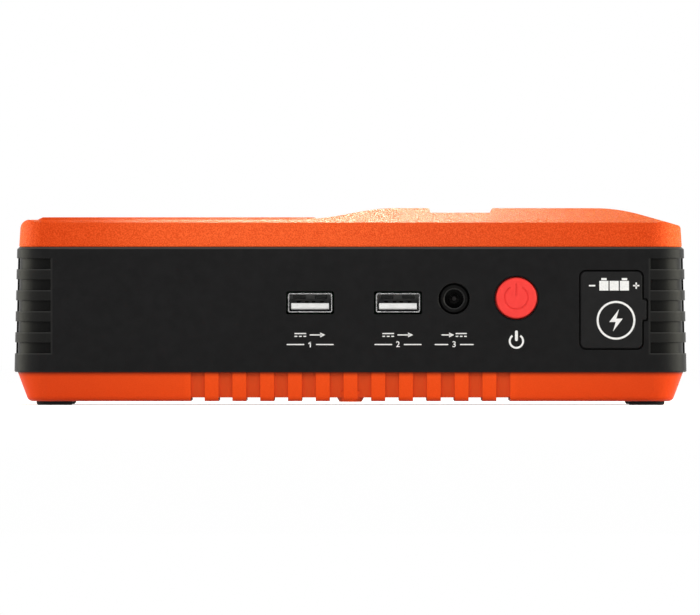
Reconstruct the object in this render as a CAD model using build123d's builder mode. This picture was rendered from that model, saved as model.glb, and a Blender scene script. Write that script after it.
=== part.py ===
"""Jump starter pack: a lithium battery pack that starts a car and charges small devices.

The case is a sandwich of three mouldings: a tray with a castellated underside, an upright band
with ribbed corners that carries every socket, and a humped cover. Four screws under the rubber
feet clamp the three together. Inside lie a stack of pouch cells, the board that protects them,
the board behind the front panel, a torch in the left end and the charge lights in the top.

Frame: the origin is the centre of the footprint, at the height of the feet's undersides.
+X is to the right of the front panel, -Y is the way the front panel faces, +Z is up.
All lengths are millimetres and all angles are degrees.
"""

import math
import os

from build123d import *

os.makedirs("parts", exist_ok=True)


# --- Driving dimensions ---------------------------------------------------------------------

# The case as a whole
case_length = 200.0
case_depth = 100.0
corner_radius = 10.0
foot_drop = 1.13
tray_height = 8.67
band_height = 37.2

# The three mouldings
end_lean = 0.8
band_wall = 3.0
band_top_chamfer = 0.7
band_bottom_chamfer = 0.3
tray_setback = 1.0
tray_taper = 20.5
tray_floor = 3.2
tray_edge_radius = 1.8
cover_setback = 0.6
cover_taper = 3.5
cover_wall = 2.4
cover_rim_depth = 1.5
cover_edge_chamfer = 0.25
lip_height = 3.0
lip_wall = 1.5
seam_clearance = 0.15
cutter_margin = 5.0

# Castellated underside of the tray
slot_count = 12
slot_pitch = 8.26
slot_width = 4.1
slot_depth = 1.1
tray_boss_radius = 4.9
tray_boss_tip_radius = 3.3
tray_boss_height = 3.1
tray_boss_drop = 0.2
tray_boss_inset = 3.7

# Ribbed corners of the band
groove_count = 5
groove_pitch = 6.256
groove_height = 3.24
groove_depth = 0.95
groove_length = 10.9
groove_return = 14.0
groove_lowest = 17.0
end_panel_depth = 0.33

# Top of the cover, as heights above the band
shoulder_rise = 7.2
shelf_rise = 8.1
crest_rise = 11.6
flank_angle = 16.0
shoulder_edge_radius = 0.5
shoulder_left_radius = 2.8
shoulder_right_radius = 1.2
hump_start = -18.0
hump_crest_start = 13.0
hump_fall_blend = 14.0
hump_fall_inset = 6.9
panel_rise = 0.75
panel_length = 84.0
panel_side_margin = 6.0
panel_end_margin = 5.4
panel_corner_radius = 5.0
panel_edge_slope = 25.0
channel_centre = 32.85
channel_width = 19.1
channel_depth = 1.35
channel_side_angle = 66.0

# Posts and screws that hold the case together
post_radius = 4.0
post_end_inset = 12.0
post_side_inset = 13.5
post_split = 24.0
post_gap = 0.2
screw_radius = 1.5
screw_length = 20.0
screw_head_radius = 2.7
screw_head_height = 2.0
screw_clearance = 0.1
screw_head_seat = 10.0
screw_tip_room = 1.0

# Rubber feet
foot_length = 10.9
foot_width = 14.0
foot_corner_radius = 3.0
foot_recess = 0.6
foot_clearance = 0.1
foot_chamfer = 0.5

# Charging sockets
port_offsets = (89.55, 63.45)
port_height = 30.4
port_width = 13.1
port_thickness = 5.7
port_length = 14.0
port_corner_radius = 0.6
port_sheet = 0.3
port_setback = 0.4
port_window_width = 2.0
port_window_length = 4.5
port_window_spacing = 6.2
port_window_start = 3.2
port_opening_gap = 0.6
tongue_width = 11.2
tongue_thickness = 1.85
tongue_lift = 0.6
tongue_length = 9.2
tongue_root = 3.6
tongue_tip_chamfer = 0.3
port_fit = 0.05
contact_width = 1.0
contact_thickness = 0.2
contact_length = 7.4
contact_offsets = (-3.5, -1.0, 1.0, 3.5)
contact_pocket_height = 0.6
contact_pocket_gap = 0.05
root_window_width = 3.7
root_window_height = 1.0
root_window_spacing = 6.4
root_window_drop = 0.3
root_recess_depth = 1.5

# Input jack
jack_offset = 46.75
jack_z = 31.6
jack_opening_radius = 4.65
jack_nose_radius = 4.45
jack_bore_radius = 2.85
jack_bore_depth = 9.5
jack_pin_radius = 1.0
jack_pin_root_radius = 1.4
jack_pin_setback = 1.0
jack_pin_chamfer = 0.4
jack_setback = 0.6
jack_lead_in = 0.3
jack_body_width = 10.4
jack_body_height = 11.0
jack_edge_chamfer = 0.5
jack_spring_width = 1.6
jack_spring_thickness = 0.4

# Power button and the switch behind it
button_offset = 28.25
button_z = 31.8
button_radius = 6.05
button_gap = 0.4
button_proud = 0.4
button_edge_chamfer = 0.35
button_flange_width = 1.4
button_flange_thickness = 0.8
button_stem_radius = 2.5
button_travel = 0.5
button_ring_wall = 1.0
button_ring_length = 4.0
button_ring_gap = 0.3
button_seat_gap = 0.1
switch_width = 6.0
switch_height = 4.3
switch_plunger_radius = 1.7
switch_plunger_reach = 1.6
switch_plunger_gap = 0.1
switch_plunger_root = 1.0
switch_plunger_chamfer = 0.3
switch_corner_radius = 0.5

# Rubber cover over the starter socket
flap_end_inset = 22.45
flap_z = 28.3
flap_width = 18.5
flap_height = 23.0
flap_thickness = 1.7
flap_corner_radius = 1.7
flap_edge_chamfer = 0.35
flap_gap = 0.4
flap_seat_gap = 0.1
flap_tab_width = 1.3
flap_tab_height = 6.1
flap_tab_radius = 0.8
flap_rim_depth = 2.0
flap_rim_wall = 1.2
flap_rim_clearance = 0.6
anchor_height = 14.0
anchor_lip = 0.7
anchor_gap = 0.25
anchor_inset = 1.0
anchor_flange_width = 3.4
anchor_flange_thickness = 1.2

# Starter socket
starter_width = 12.4
starter_height = 18.6
starter_length = 14.0
starter_corner_radius = 1.6
starter_key_chamfer = 3.0
starter_face_gap = 0.3
starter_fit = 0.3
starter_pad = 2.0
starter_pad_margin = 2.2
starter_flange_reach = 5.2
starter_flange_margin = 0.6
starter_flange_thickness = 2.5
starter_bore_pitch = 9.6
starter_bore_radius = 2.5
starter_tube_radius = 3.2
starter_bore_depth = 12.0
starter_mouth_radius = 2.75
starter_mouth_depth = 1.0
starter_tail = 3.0

# Main board behind the front panel
board_thickness = 1.6
board_offset = 17.55
board_width = 84.0
board_height = 30.5
board_low = 13.5
board_corner_radius = 1.5
board_screw_inset = 3.4
board_boss_radius = 2.6
small_screw_radius = 1.0
small_screw_length = 5.0
small_head_radius = 1.9
small_head_height = 1.3
small_screw_room = 0.2

capacitor_radius = 3.15
capacitor_height = 8.0
capacitor_spacing = 14.0
capacitor_edge = 0.6
inductor_size = 8.0
inductor_height = 4.5
inductor_corner_radius = 1.5
inductor_edge = 0.5
inductor_margin = 1.0
chip_length = 6.0
chip_width = 5.0
chip_height = 1.2
chip_pitch = 9.0

# Pouch cells and their pads
cell_count = 3
cell_end_room = 30.0
cell_width = 66.0
cell_thickness = 11.0
cell_edge_radius = 2.5
cell_seal_length = 4.0
cell_seal_thickness = 1.2
cell_y = 7.0
pad_thickness = 1.5
pad_margin = 4.0
tab_width = 12.0
tab_thickness = 0.4
tab_guide_gap = 2.0
tab_length = 3.0
fence_height = 5.0
fence_wall = 1.6
fence_gap = 0.4
clamp_rib_places = (-57.0, -19.0, 19.0, 57.0)
clamp_rib_wall = 2.0
clamp_rib_width = 50.0

# Protection board at the cells' tab end
guard_width = 60.0
guard_height = 36.0
guard_lift = 0.3
guide_wall = 1.6
guide_height = 8.0
guide_reach = 4.0
guide_gap = 0.1

# Leads to the starter socket
lead_radius = 2.3
lead_bend_radius = 14.0
lead_straight = 9.0
lead_slant = 16.0
lead_bow = 16.0
lead_landing = 14.0

# Torch in the left end
torch_z = 28.4
torch_opening_radius = 9.2
torch_lens_radius = 10.4
torch_lens_thickness = 1.6
torch_lip = 1.0
torch_fit = 0.1
torch_bowl_depth = 8.0
torch_bowl_wall = 0.8
torch_bowl_neck = 3.2
torch_bowl_rim = 1.0
torch_bowl_share = 0.68
torch_bowl_facets = 4
torch_board_width = 36.0
torch_board_height = 16.0
torch_boss_spacing = 28.0
torch_emitter_size = 3.6
torch_emitter_height = 1.4
torch_emitter_dome_radius = 1.45

# Charge lights in the top channel
light_count = 4
light_pitch = 9.0
light_radius = 1.5
light_clearance = 0.1
light_chamfer = 0.3
light_flange_radius = 2.2
light_flange_height = 0.8
light_air_gap = 0.3
level_board_length = 44.0
level_board_width = 12.0
level_boss_spacing = 38.0
level_emitter_size = 2.0
level_emitter_height = 0.8


# --- Places worked out from the driving dimensions --------------------------------------------

half_length = case_length / 2
half_depth = case_depth / 2
post_x = half_length - post_end_inset
post_y = half_depth - post_side_inset
base_z = foot_drop
seam_z = base_z + tray_height
band_top_z = seam_z + band_height
floor_z = base_z + tray_floor
shelf_z = band_top_z + shelf_rise
shoulder_z = band_top_z + shoulder_rise
crest_z = band_top_z + crest_rise

front_y = -half_depth
front_inner_y = front_y + band_wall
board_front_y = front_y + port_setback + port_length
board_back_y = board_front_y + board_thickness

# The row of sockets is laid out from the rubber cover, which keeps its distance to the right end.
flap_x = half_length - flap_end_inset
button_x = flap_x - button_offset
jack_x = flap_x - jack_offset
port_places = [flap_x - offset for offset in port_offsets]
board_right = flap_x - board_offset
board_left = board_right - board_width
board_high = board_low + board_height

cover_half_length = half_length - end_lean - cover_setback
cover_half_depth = half_depth - cover_setback
cover_corner = corner_radius - cover_setback
tray_half_length = half_length - tray_setback
tray_half_depth = half_depth - tray_setback
tray_corner = corner_radius - tray_setback

tray_draft = math.tan(math.radians(tray_taper))
flank_slope = math.tan(math.radians(flank_angle))
cover_draft = math.tan(math.radians(cover_taper))
hump_fall_foot = cover_half_length - hump_fall_inset
shoulder_half_depth = cover_half_depth - shoulder_rise * cover_draft
flank_foot = shoulder_half_depth - (shelf_z - shoulder_z) / flank_slope


def lean_at(height):
    """How far the end walls lean inwards at a height above the band's foot."""
    return end_lean * height / band_height


# --- Forms shared by the mouldings -----------------------------------------------------------


def band_form(inset, low_z, high_z):
    """Upright block with leaning ends, set in from the band's outer face by an inset."""
    low_half = half_length - lean_at(low_z - seam_z) - inset
    high_half = half_length - lean_at(high_z - seam_z) - inset
    with BuildPart() as form:
        with BuildSketch(Plane.XZ):
            with BuildLine():
                Polyline(
                    (-low_half, low_z),
                    (low_half, low_z),
                    (high_half, high_z),
                    (-high_half, high_z),
                    close=True,
                )
            make_face()
        extrude(amount=half_depth - inset, both=True)
        upright = form.edges().filter_by(lambda edge: abs(edge.tangent_at(0.5).Z) > 0.5)
        fillet(upright, radius=corner_radius - inset)
    return form.part


def tray_form(inset, low_z, rounding):
    """Tapered block that narrows downwards from the seam, set in by an inset."""
    with BuildPart() as form:
        with BuildSketch(Plane.XY.offset(seam_z)):
            RectangleRounded(
                2 * (tray_half_length - inset),
                2 * (tray_half_depth - inset),
                tray_corner - inset,
            )
        extrude(amount=low_z - seam_z, taper=tray_taper)
        if rounding > 0:
            fillet(form.faces().sort_by(Axis.Z)[0].edges(), radius=rounding)
    return form.part


def hump_profile(inset, flat_z):
    """Side view of the cover's top: shelf, rise to the crest, and fall to the right end."""
    low = shelf_z - inset
    high = crest_z - inset
    fall_start_x = hump_fall_foot - (crest_z - shelf_z) / flank_slope
    blend_start_x = fall_start_x - hump_fall_blend / 2
    blend_end_x = fall_start_x + hump_fall_blend / 2
    blend_end_z = high - (blend_end_x - fall_start_x) * flank_slope
    reach = half_length + cutter_margin
    reach_z = high - (reach - fall_start_x) * flank_slope
    with BuildLine() as profile:
        Line((-reach, low), (hump_start, low))
        Spline(
            (hump_start, low),
            (
                hump_start + 0.45 * (hump_crest_start - hump_start),
                low + 0.33 * (high - low),
            ),
            (hump_crest_start, high),
            tangents=((1, 0), (1, 0)),
        )
        Line((hump_crest_start, high), (blend_start_x, high))
        Spline(
            (blend_start_x, high),
            (blend_end_x, blend_end_z),
            tangents=((1, 0), (1, -flank_slope)),
        )
        Polyline(
            (blend_end_x, blend_end_z),
            (reach, reach_z),
            (reach, flat_z),
            (-reach, flat_z),
            (-reach, low),
        )
    return profile.line


def flank_profile(inset, flat_z):
    """End view of the cover's top: flat crest with a sloping flank to the front and the back."""
    high = crest_z - inset
    crest_edge = flank_foot - (crest_z - shelf_z) / flank_slope
    reach = half_depth + cutter_margin
    reach_z = high - (reach - crest_edge) * flank_slope
    with BuildLine() as profile:
        Polyline(
            (-crest_edge, high),
            (crest_edge, high),
            (reach, reach_z),
            (reach, flat_z),
            (-reach, flat_z),
            (-reach, reach_z),
            close=True,
        )
    return profile.line


def cover_hump(inset, outline_inset, flat_z):
    """The part of the cover's top above flat_z, inside an outline set in from the wall."""
    foot_z = band_top_z - cutter_margin
    with BuildPart() as form:
        with BuildSketch(Plane.XY.offset(flat_z)):
            RectangleRounded(
                2 * (cover_half_length - outline_inset),
                2 * (cover_half_depth - outline_inset),
                cover_corner - outline_inset,
            )
        extrude(amount=crest_z - flat_z)
        with BuildSketch(Plane.XZ):
            add(hump_profile(inset, foot_z))
            make_face()
        extrude(amount=case_depth, both=True, mode=Mode.INTERSECT)
        with BuildSketch(Plane.YZ):
            add(flank_profile(inset, foot_z))
            make_face()
        extrude(amount=case_length, both=True, mode=Mode.INTERSECT)
    return form.part


def cover_body():
    """The cover up to its shelf: the plan, the side view and the end view, crossed."""
    foot_z = band_top_z - cutter_margin
    foot_spread = cutter_margin * cover_draft
    left_x = cover_half_length - shelf_rise * cover_draft
    fall_height = shelf_rise + hump_fall_foot * flank_slope
    right_x = (cover_half_length - fall_height * cover_draft) / (1 - cover_draft * flank_slope)
    right_z = shelf_z - (right_x - hump_fall_foot) * flank_slope
    with BuildPart() as form:
        with BuildSketch(Plane.XY.offset(band_top_z)):
            RectangleRounded(2 * cover_half_length, 2 * cover_half_depth, cover_corner)
        extrude(amount=crest_rise, taper=cover_taper)
        with BuildSketch(Plane.XZ) as side_view:
            with BuildLine():
                Polyline(
                    (-cover_half_length - foot_spread, foot_z),
                    (-left_x, shelf_z),
                    (hump_fall_foot, shelf_z),
                    (right_x, right_z),
                    (cover_half_length + foot_spread, foot_z),
                    close=True,
                )
            make_face()
            corners = side_view.vertices().filter_by_position(Axis.Y, foot_z + 1, crest_z)
            fillet(corners.sort_by(Axis.X)[0], radius=shoulder_left_radius)
            corners = side_view.vertices().filter_by_position(Axis.Y, foot_z + 1, crest_z)
            fillet(corners.sort_by(Axis.X)[-1], radius=shoulder_right_radius)
        extrude(amount=case_depth, both=True, mode=Mode.INTERSECT)
        with BuildSketch(Plane.YZ) as end_view:
            with BuildLine():
                Polyline(
                    (-cover_half_depth - foot_spread, foot_z),
                    (-shoulder_half_depth, shoulder_z),
                    (-flank_foot, shelf_z),
                    (flank_foot, shelf_z),
                    (shoulder_half_depth, shoulder_z),
                    (cover_half_depth + foot_spread, foot_z),
                    close=True,
                )
            make_face()
            shoulders = [
                corner
                for corner in end_view.vertices()
                if math.isclose(abs(corner.X), shoulder_half_depth, abs_tol=1e-6)
            ]
            fillet(shoulders, radius=shoulder_edge_radius)
        extrude(amount=case_length, both=True, mode=Mode.INTERSECT)
        chamfer(form.faces().sort_by(Axis.Z)[0].edges(), length=cover_edge_chamfer)
    return form.part


# --- Lower case ------------------------------------------------------------------------------

post_places = [(x, y) for x in (-post_x, post_x) for y in (-post_y, post_y)]
lip_half_length = half_length - band_wall - seam_clearance
lip_half_depth = half_depth - band_wall - seam_clearance
lip_corner = corner_radius - band_wall - seam_clearance
cavity_half_length = lip_half_length - lip_wall
cavity_half_depth = lip_half_depth - lip_wall
cavity_corner = lip_corner - lip_wall
cover_hollow_half_length = cavity_half_length - end_lean

cell_length = case_length - 2 * cell_end_room
cell_stack_z = floor_z
cell_step = cell_thickness + pad_thickness
fence_length = cell_length + 2 * fence_gap
fence_width = cell_width + 2 * fence_gap

guard_x = cell_length / 2 + tab_length
guard_bottom = floor_z + guard_lift
guard_slot = board_thickness + 2 * guide_gap

with BuildPart() as lower_case:
    add(tray_form(0, base_z, tray_edge_radius))
    # Slots cut right through, then the core that forms their floors goes back in.
    with BuildSketch(Plane.XY.offset(base_z)):
        with GridLocations(slot_pitch, 0, slot_count, 1):
            Rectangle(slot_width, case_depth)
    extrude(amount=tray_height, mode=Mode.SUBTRACT)
    add(tray_form(slot_depth, base_z + slot_depth, 0))
    # Tapered bosses on the middle of the front and rear edges.
    for side in (-1, 1):
        boss_y = side * (tray_half_depth - tray_height * tray_draft - tray_boss_inset)
        boss_foot = base_z - tray_boss_drop
        with BuildSketch(Plane.XY.offset(boss_foot)):
            with Locations((0, boss_y)):
                Circle(tray_boss_tip_radius)
        with BuildSketch(Plane.XY.offset(boss_foot + tray_boss_height)):
            with Locations((0, boss_y)):
                Circle(tray_boss_radius)
        loft()
    # Hollow inside, leaving a rim as wide as the band and its locating lip.
    with BuildSketch(Plane.XY.offset(seam_z)):
        RectangleRounded(2 * cavity_half_length, 2 * cavity_half_depth, cavity_corner)
    extrude(amount=floor_z - seam_z, taper=tray_taper, mode=Mode.SUBTRACT)
    with BuildSketch(Plane.XY.offset(seam_z)):
        RectangleRounded(2 * lip_half_length, 2 * lip_half_depth, lip_corner)
        RectangleRounded(
            2 * cavity_half_length, 2 * cavity_half_depth, cavity_corner, mode=Mode.SUBTRACT
        )
    extrude(amount=lip_height)
    # Fence round the lowest cell, and the slotted guides that hold the protection board.
    with BuildSketch(Plane.XY.offset(floor_z)):
        with Locations((0, cell_y)):
            Rectangle(fence_length + 2 * fence_wall, fence_width + 2 * fence_wall)
            Rectangle(fence_length, fence_width, mode=Mode.SUBTRACT)
            with Locations((fence_length / 2, 0)):
                Rectangle(4 * fence_wall, fence_width - 2 * guide_reach, mode=Mode.SUBTRACT)
    extrude(amount=fence_height)
    with BuildSketch(Plane.XY.offset(floor_z)):
        with Locations((guard_x + board_thickness / 2, cell_y)):
            Rectangle(guard_slot + 2 * guide_wall, guard_width + 2 * guide_wall)
            Rectangle(
                guard_slot + 2 * guide_wall, guard_width - 2 * guide_reach, mode=Mode.SUBTRACT
            )
            Rectangle(guard_slot, guard_width + 2 * guide_gap, mode=Mode.SUBTRACT)
    extrude(amount=guide_height)
    # Screw posts with counterbored seats, and a shallow recess for each rubber foot.
    with BuildSketch(Plane.XY.offset(base_z + slot_depth)):
        with Locations(*post_places):
            Circle(post_radius)
    extrude(amount=post_split - base_z - slot_depth)
    with BuildSketch(Plane.XY.offset(base_z)):
        with Locations(*post_places):
            Circle(screw_head_radius + screw_clearance)
    extrude(amount=screw_head_seat - base_z, mode=Mode.SUBTRACT)
    with BuildSketch(Plane.XY.offset(base_z)):
        with Locations(*post_places):
            Circle(screw_radius + screw_clearance)
    extrude(amount=post_split - base_z, mode=Mode.SUBTRACT)
    with BuildSketch(Plane.XY.offset(base_z)):
        with Locations(*post_places):
            RectangleRounded(
                foot_length + 2 * foot_clearance,
                foot_width + 2 * foot_clearance,
                foot_corner_radius,
            )
    extrude(amount=foot_recess, mode=Mode.SUBTRACT)
lower_case.part.label = "lower_case"
export_step(lower_case.part, "parts/lower_case.step")


# --- Rubber feet -----------------------------------------------------------------------------

foot_names = {
    "foot_front_left": (-post_x, -post_y),
    "foot_front_right": (post_x, -post_y),
    "foot_rear_left": (-post_x, post_y),
    "foot_rear_right": (post_x, post_y),
}
for foot_name, (foot_x, foot_y) in foot_names.items():
    with BuildPart() as foot:
        with BuildSketch(Plane.XY.offset(base_z + foot_recess)):
            with Locations((foot_x, foot_y)):
                RectangleRounded(foot_length, foot_width, foot_corner_radius)
        extrude(amount=-foot_recess - foot_drop)
        chamfer(foot.faces().sort_by(Axis.Z)[0].edges(), length=foot_chamfer)
    foot.part.label = foot_name
    export_step(foot.part, f"parts/{foot_name}.step")


# --- Upper case ------------------------------------------------------------------------------

roof_z = band_top_z + cover_rim_depth
channel_floor_z = crest_z - channel_depth
light_y = [light_pitch * (index - (light_count - 1) / 2) for index in range(light_count)]
light_places = [(channel_centre, y) for y in light_y]
light_stack = light_flange_height + light_air_gap + level_emitter_height + light_clearance
level_board_z = channel_floor_z - cover_wall - light_stack - board_thickness
level_boss_places = [(channel_centre, side * level_boss_spacing / 2) for side in (-1, 1)]

stack_top_z = cell_stack_z + cell_count * cell_step + pad_thickness

fitting_places = [(x, cell_y) for x in clamp_rib_places]

with BuildPart() as cover_block:
    add(cover_body())
    add(cover_hump(0, cover_wall, shoulder_z))
    # Raised panel on the shelf, with sloping edges.
    with BuildSketch(Plane.XY.offset(shelf_z)):
        with Locations((panel_end_margin + panel_length / 2 - cover_half_length, 0)):
            RectangleRounded(
                panel_length,
                2 * (cover_half_depth - panel_side_margin),
                panel_corner_radius,
            )
    extrude(amount=panel_rise, taper=90 - panel_edge_slope)
    # Channel across the crest, fading out on the flanks.
    spread = channel_depth / math.tan(math.radians(channel_side_angle))
    with BuildSketch(Plane.XZ):
        with BuildLine():
            Polyline(
                (channel_centre - channel_width / 2 + spread, channel_floor_z),
                (channel_centre + channel_width / 2 - spread, channel_floor_z),
                (channel_centre + channel_width / 2, crest_z),
                (channel_centre + channel_width / 2, crest_z + cutter_margin),
                (channel_centre - channel_width / 2, crest_z + cutter_margin),
                (channel_centre - channel_width / 2, crest_z),
                close=True,
            )
        make_face()
    extrude(amount=case_depth, both=True, mode=Mode.SUBTRACT)

# Ribs, posts and bosses under the roof, trimmed where they would come through it.
with BuildPart() as cover_fittings:
    with BuildSketch(Plane.XY.offset(stack_top_z)):
        with Locations(*fitting_places):
            Rectangle(clamp_rib_wall, clamp_rib_width)
    extrude(amount=crest_z - stack_top_z)
    with BuildSketch(Plane.XY.offset(post_split + post_gap)):
        with Locations(*post_places):
            Circle(post_radius)
    extrude(amount=crest_z - post_split - post_gap)
    with BuildSketch(Plane.XY.offset(level_board_z + board_thickness)):
        with Locations(*level_boss_places):
            Circle(board_boss_radius)
    extrude(amount=crest_z - level_board_z - board_thickness)
    with BuildSketch(Plane.XY.offset(channel_floor_z - cover_wall)):
        with Locations((channel_centre, 0)):
            Rectangle(channel_width + 2 * cover_wall, level_board_length + 2 * cover_wall)
    extrude(amount=cover_wall)

with BuildPart() as cover_limit:
    add(cover_block.part)
    with BuildSketch(Plane.XY.offset(band_top_z)):
        Rectangle(2 * lip_half_length, 2 * lip_half_depth)
    extrude(amount=-band_height)

with BuildPart() as upper_case:
    add(cover_block.part)
    # Hollow inside.
    with BuildSketch(Plane.XY.offset(band_top_z)):
        RectangleRounded(2 * cover_hollow_half_length, 2 * cavity_half_depth, cavity_corner)
    extrude(amount=cover_rim_depth, mode=Mode.SUBTRACT)
    add(cover_hump(cover_wall, cover_wall, roof_z), mode=Mode.SUBTRACT)
    add(cover_fittings.part & cover_limit.part)
    # Lip that drops inside the band.
    with BuildSketch(Plane.XY.offset(band_top_z)):
        RectangleRounded(2 * (lip_half_length - end_lean), 2 * lip_half_depth, lip_corner)
        RectangleRounded(
            2 * cover_hollow_half_length,
            2 * cavity_half_depth,
            cavity_corner,
            mode=Mode.SUBTRACT,
        )
    extrude(amount=-lip_height)
    # Blind screw holes, and the holes of the light pipes.
    with BuildSketch(Plane.XY.offset(post_split + post_gap)):
        with Locations(*post_places):
            Circle(screw_radius + screw_clearance / 2)
    extrude(
        amount=screw_head_seat + screw_length + screw_tip_room - post_split,
        mode=Mode.SUBTRACT,
    )
    with BuildSketch(Plane.XY.offset(level_board_z + board_thickness)):
        with Locations(*level_boss_places):
            Circle(small_screw_radius + screw_clearance / 2)
    extrude(amount=small_screw_length + small_screw_room - board_thickness, mode=Mode.SUBTRACT)
    with BuildSketch(Plane.XY.offset(crest_z)):
        with Locations(*light_places):
            Circle(light_radius + light_clearance)
    extrude(amount=-channel_depth - 2 * cover_wall, mode=Mode.SUBTRACT)
upper_case.part.label = "upper_case"
export_step(upper_case.part, "parts/upper_case.step")


# --- Middle frame ----------------------------------------------------------------------------

flap_left = flap_x - flap_width / 2
flap_right = flap_x + flap_width / 2
recess_depth = flap_thickness + flap_seat_gap
anchor_slot = anchor_lip + 2 * anchor_gap
anchor_x = flap_left + anchor_inset
starter_places = [(starter_bore_pitch / 2, "positive"), (-starter_bore_pitch / 2, "negative")]
starter_screw_reach = (starter_height + starter_flange_reach + starter_flange_margin) / 2
starter_screw_places = [(flap_x, flap_z + side * starter_screw_reach) for side in (-1, 1)]

board_screw_places = [
    (x, z)
    for x in (board_left + board_screw_inset, board_right - board_screw_inset)
    for z in (board_low + board_screw_inset, board_high - board_screw_inset)
]
panel_board_gap = board_front_y - front_inner_y

torch_wall_x = -(half_length - lean_at(torch_z - seam_z) - end_panel_depth)
torch_seat_x = torch_wall_x + torch_lip
torch_bowl_x = torch_seat_x + torch_lens_thickness
torch_board_x = torch_bowl_x + torch_bowl_depth
torch_boss_places = [(side * torch_boss_spacing / 2, torch_z) for side in (-1, 1)]

panel = Plane(origin=(0, front_y, 0), x_dir=(1, 0, 0), z_dir=(0, -1, 0))
panel_back = panel.offset(-band_wall)


def flap_outline(growth):
    """Outline of the rubber cover with its pull tab, grown all round."""
    with BuildSketch() as outline:
        with Locations((flap_x, flap_z)):
            RectangleRounded(
                flap_width + 2 * growth,
                flap_height + 2 * growth,
                flap_corner_radius + growth,
            )
        with Locations((flap_right, flap_z)):
            RectangleRounded(
                2 * (flap_tab_width + growth),
                flap_tab_height + 2 * growth,
                flap_tab_radius,
            )
    return outline.sketch


def starter_outline(growth):
    """Keyed outline of the starter socket: a rounded block with two cut corners on top."""
    half_width = starter_width / 2 + growth
    half_height = starter_height / 2 + growth
    cut = starter_key_chamfer
    with BuildSketch() as outline:
        with BuildLine():
            Polyline(
                (flap_x - half_width, flap_z - half_height),
                (flap_x + half_width, flap_z - half_height),
                (flap_x + half_width, flap_z + half_height - cut),
                (flap_x + half_width - cut, flap_z + half_height),
                (flap_x - half_width + cut, flap_z + half_height),
                (flap_x - half_width, flap_z + half_height - cut),
                close=True,
            )
        make_face()
        fillet(outline.vertices(), radius=starter_corner_radius)
    return outline.sketch


end_panel_width = case_depth - 2 * groove_return
groove_foot = groove_lowest - groove_height / 2
groove_top = groove_foot + (groove_count - 1) * groove_pitch + groove_height

with BuildPart() as groove_cutter:
    for index in range(groove_count):
        with BuildSketch(Plane.XY.offset(groove_foot + index * groove_pitch)):
            Rectangle(case_length + cutter_margin, case_depth + cutter_margin)
            Rectangle(
                case_length - 2 * groove_length,
                case_depth + 2 * cutter_margin,
                mode=Mode.SUBTRACT,
            )
            Rectangle(case_length + 2 * cutter_margin, end_panel_width, mode=Mode.SUBTRACT)
    extrude(amount=groove_height)
    add(band_form(groove_depth, seam_z, band_top_z), mode=Mode.SUBTRACT)

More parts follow.
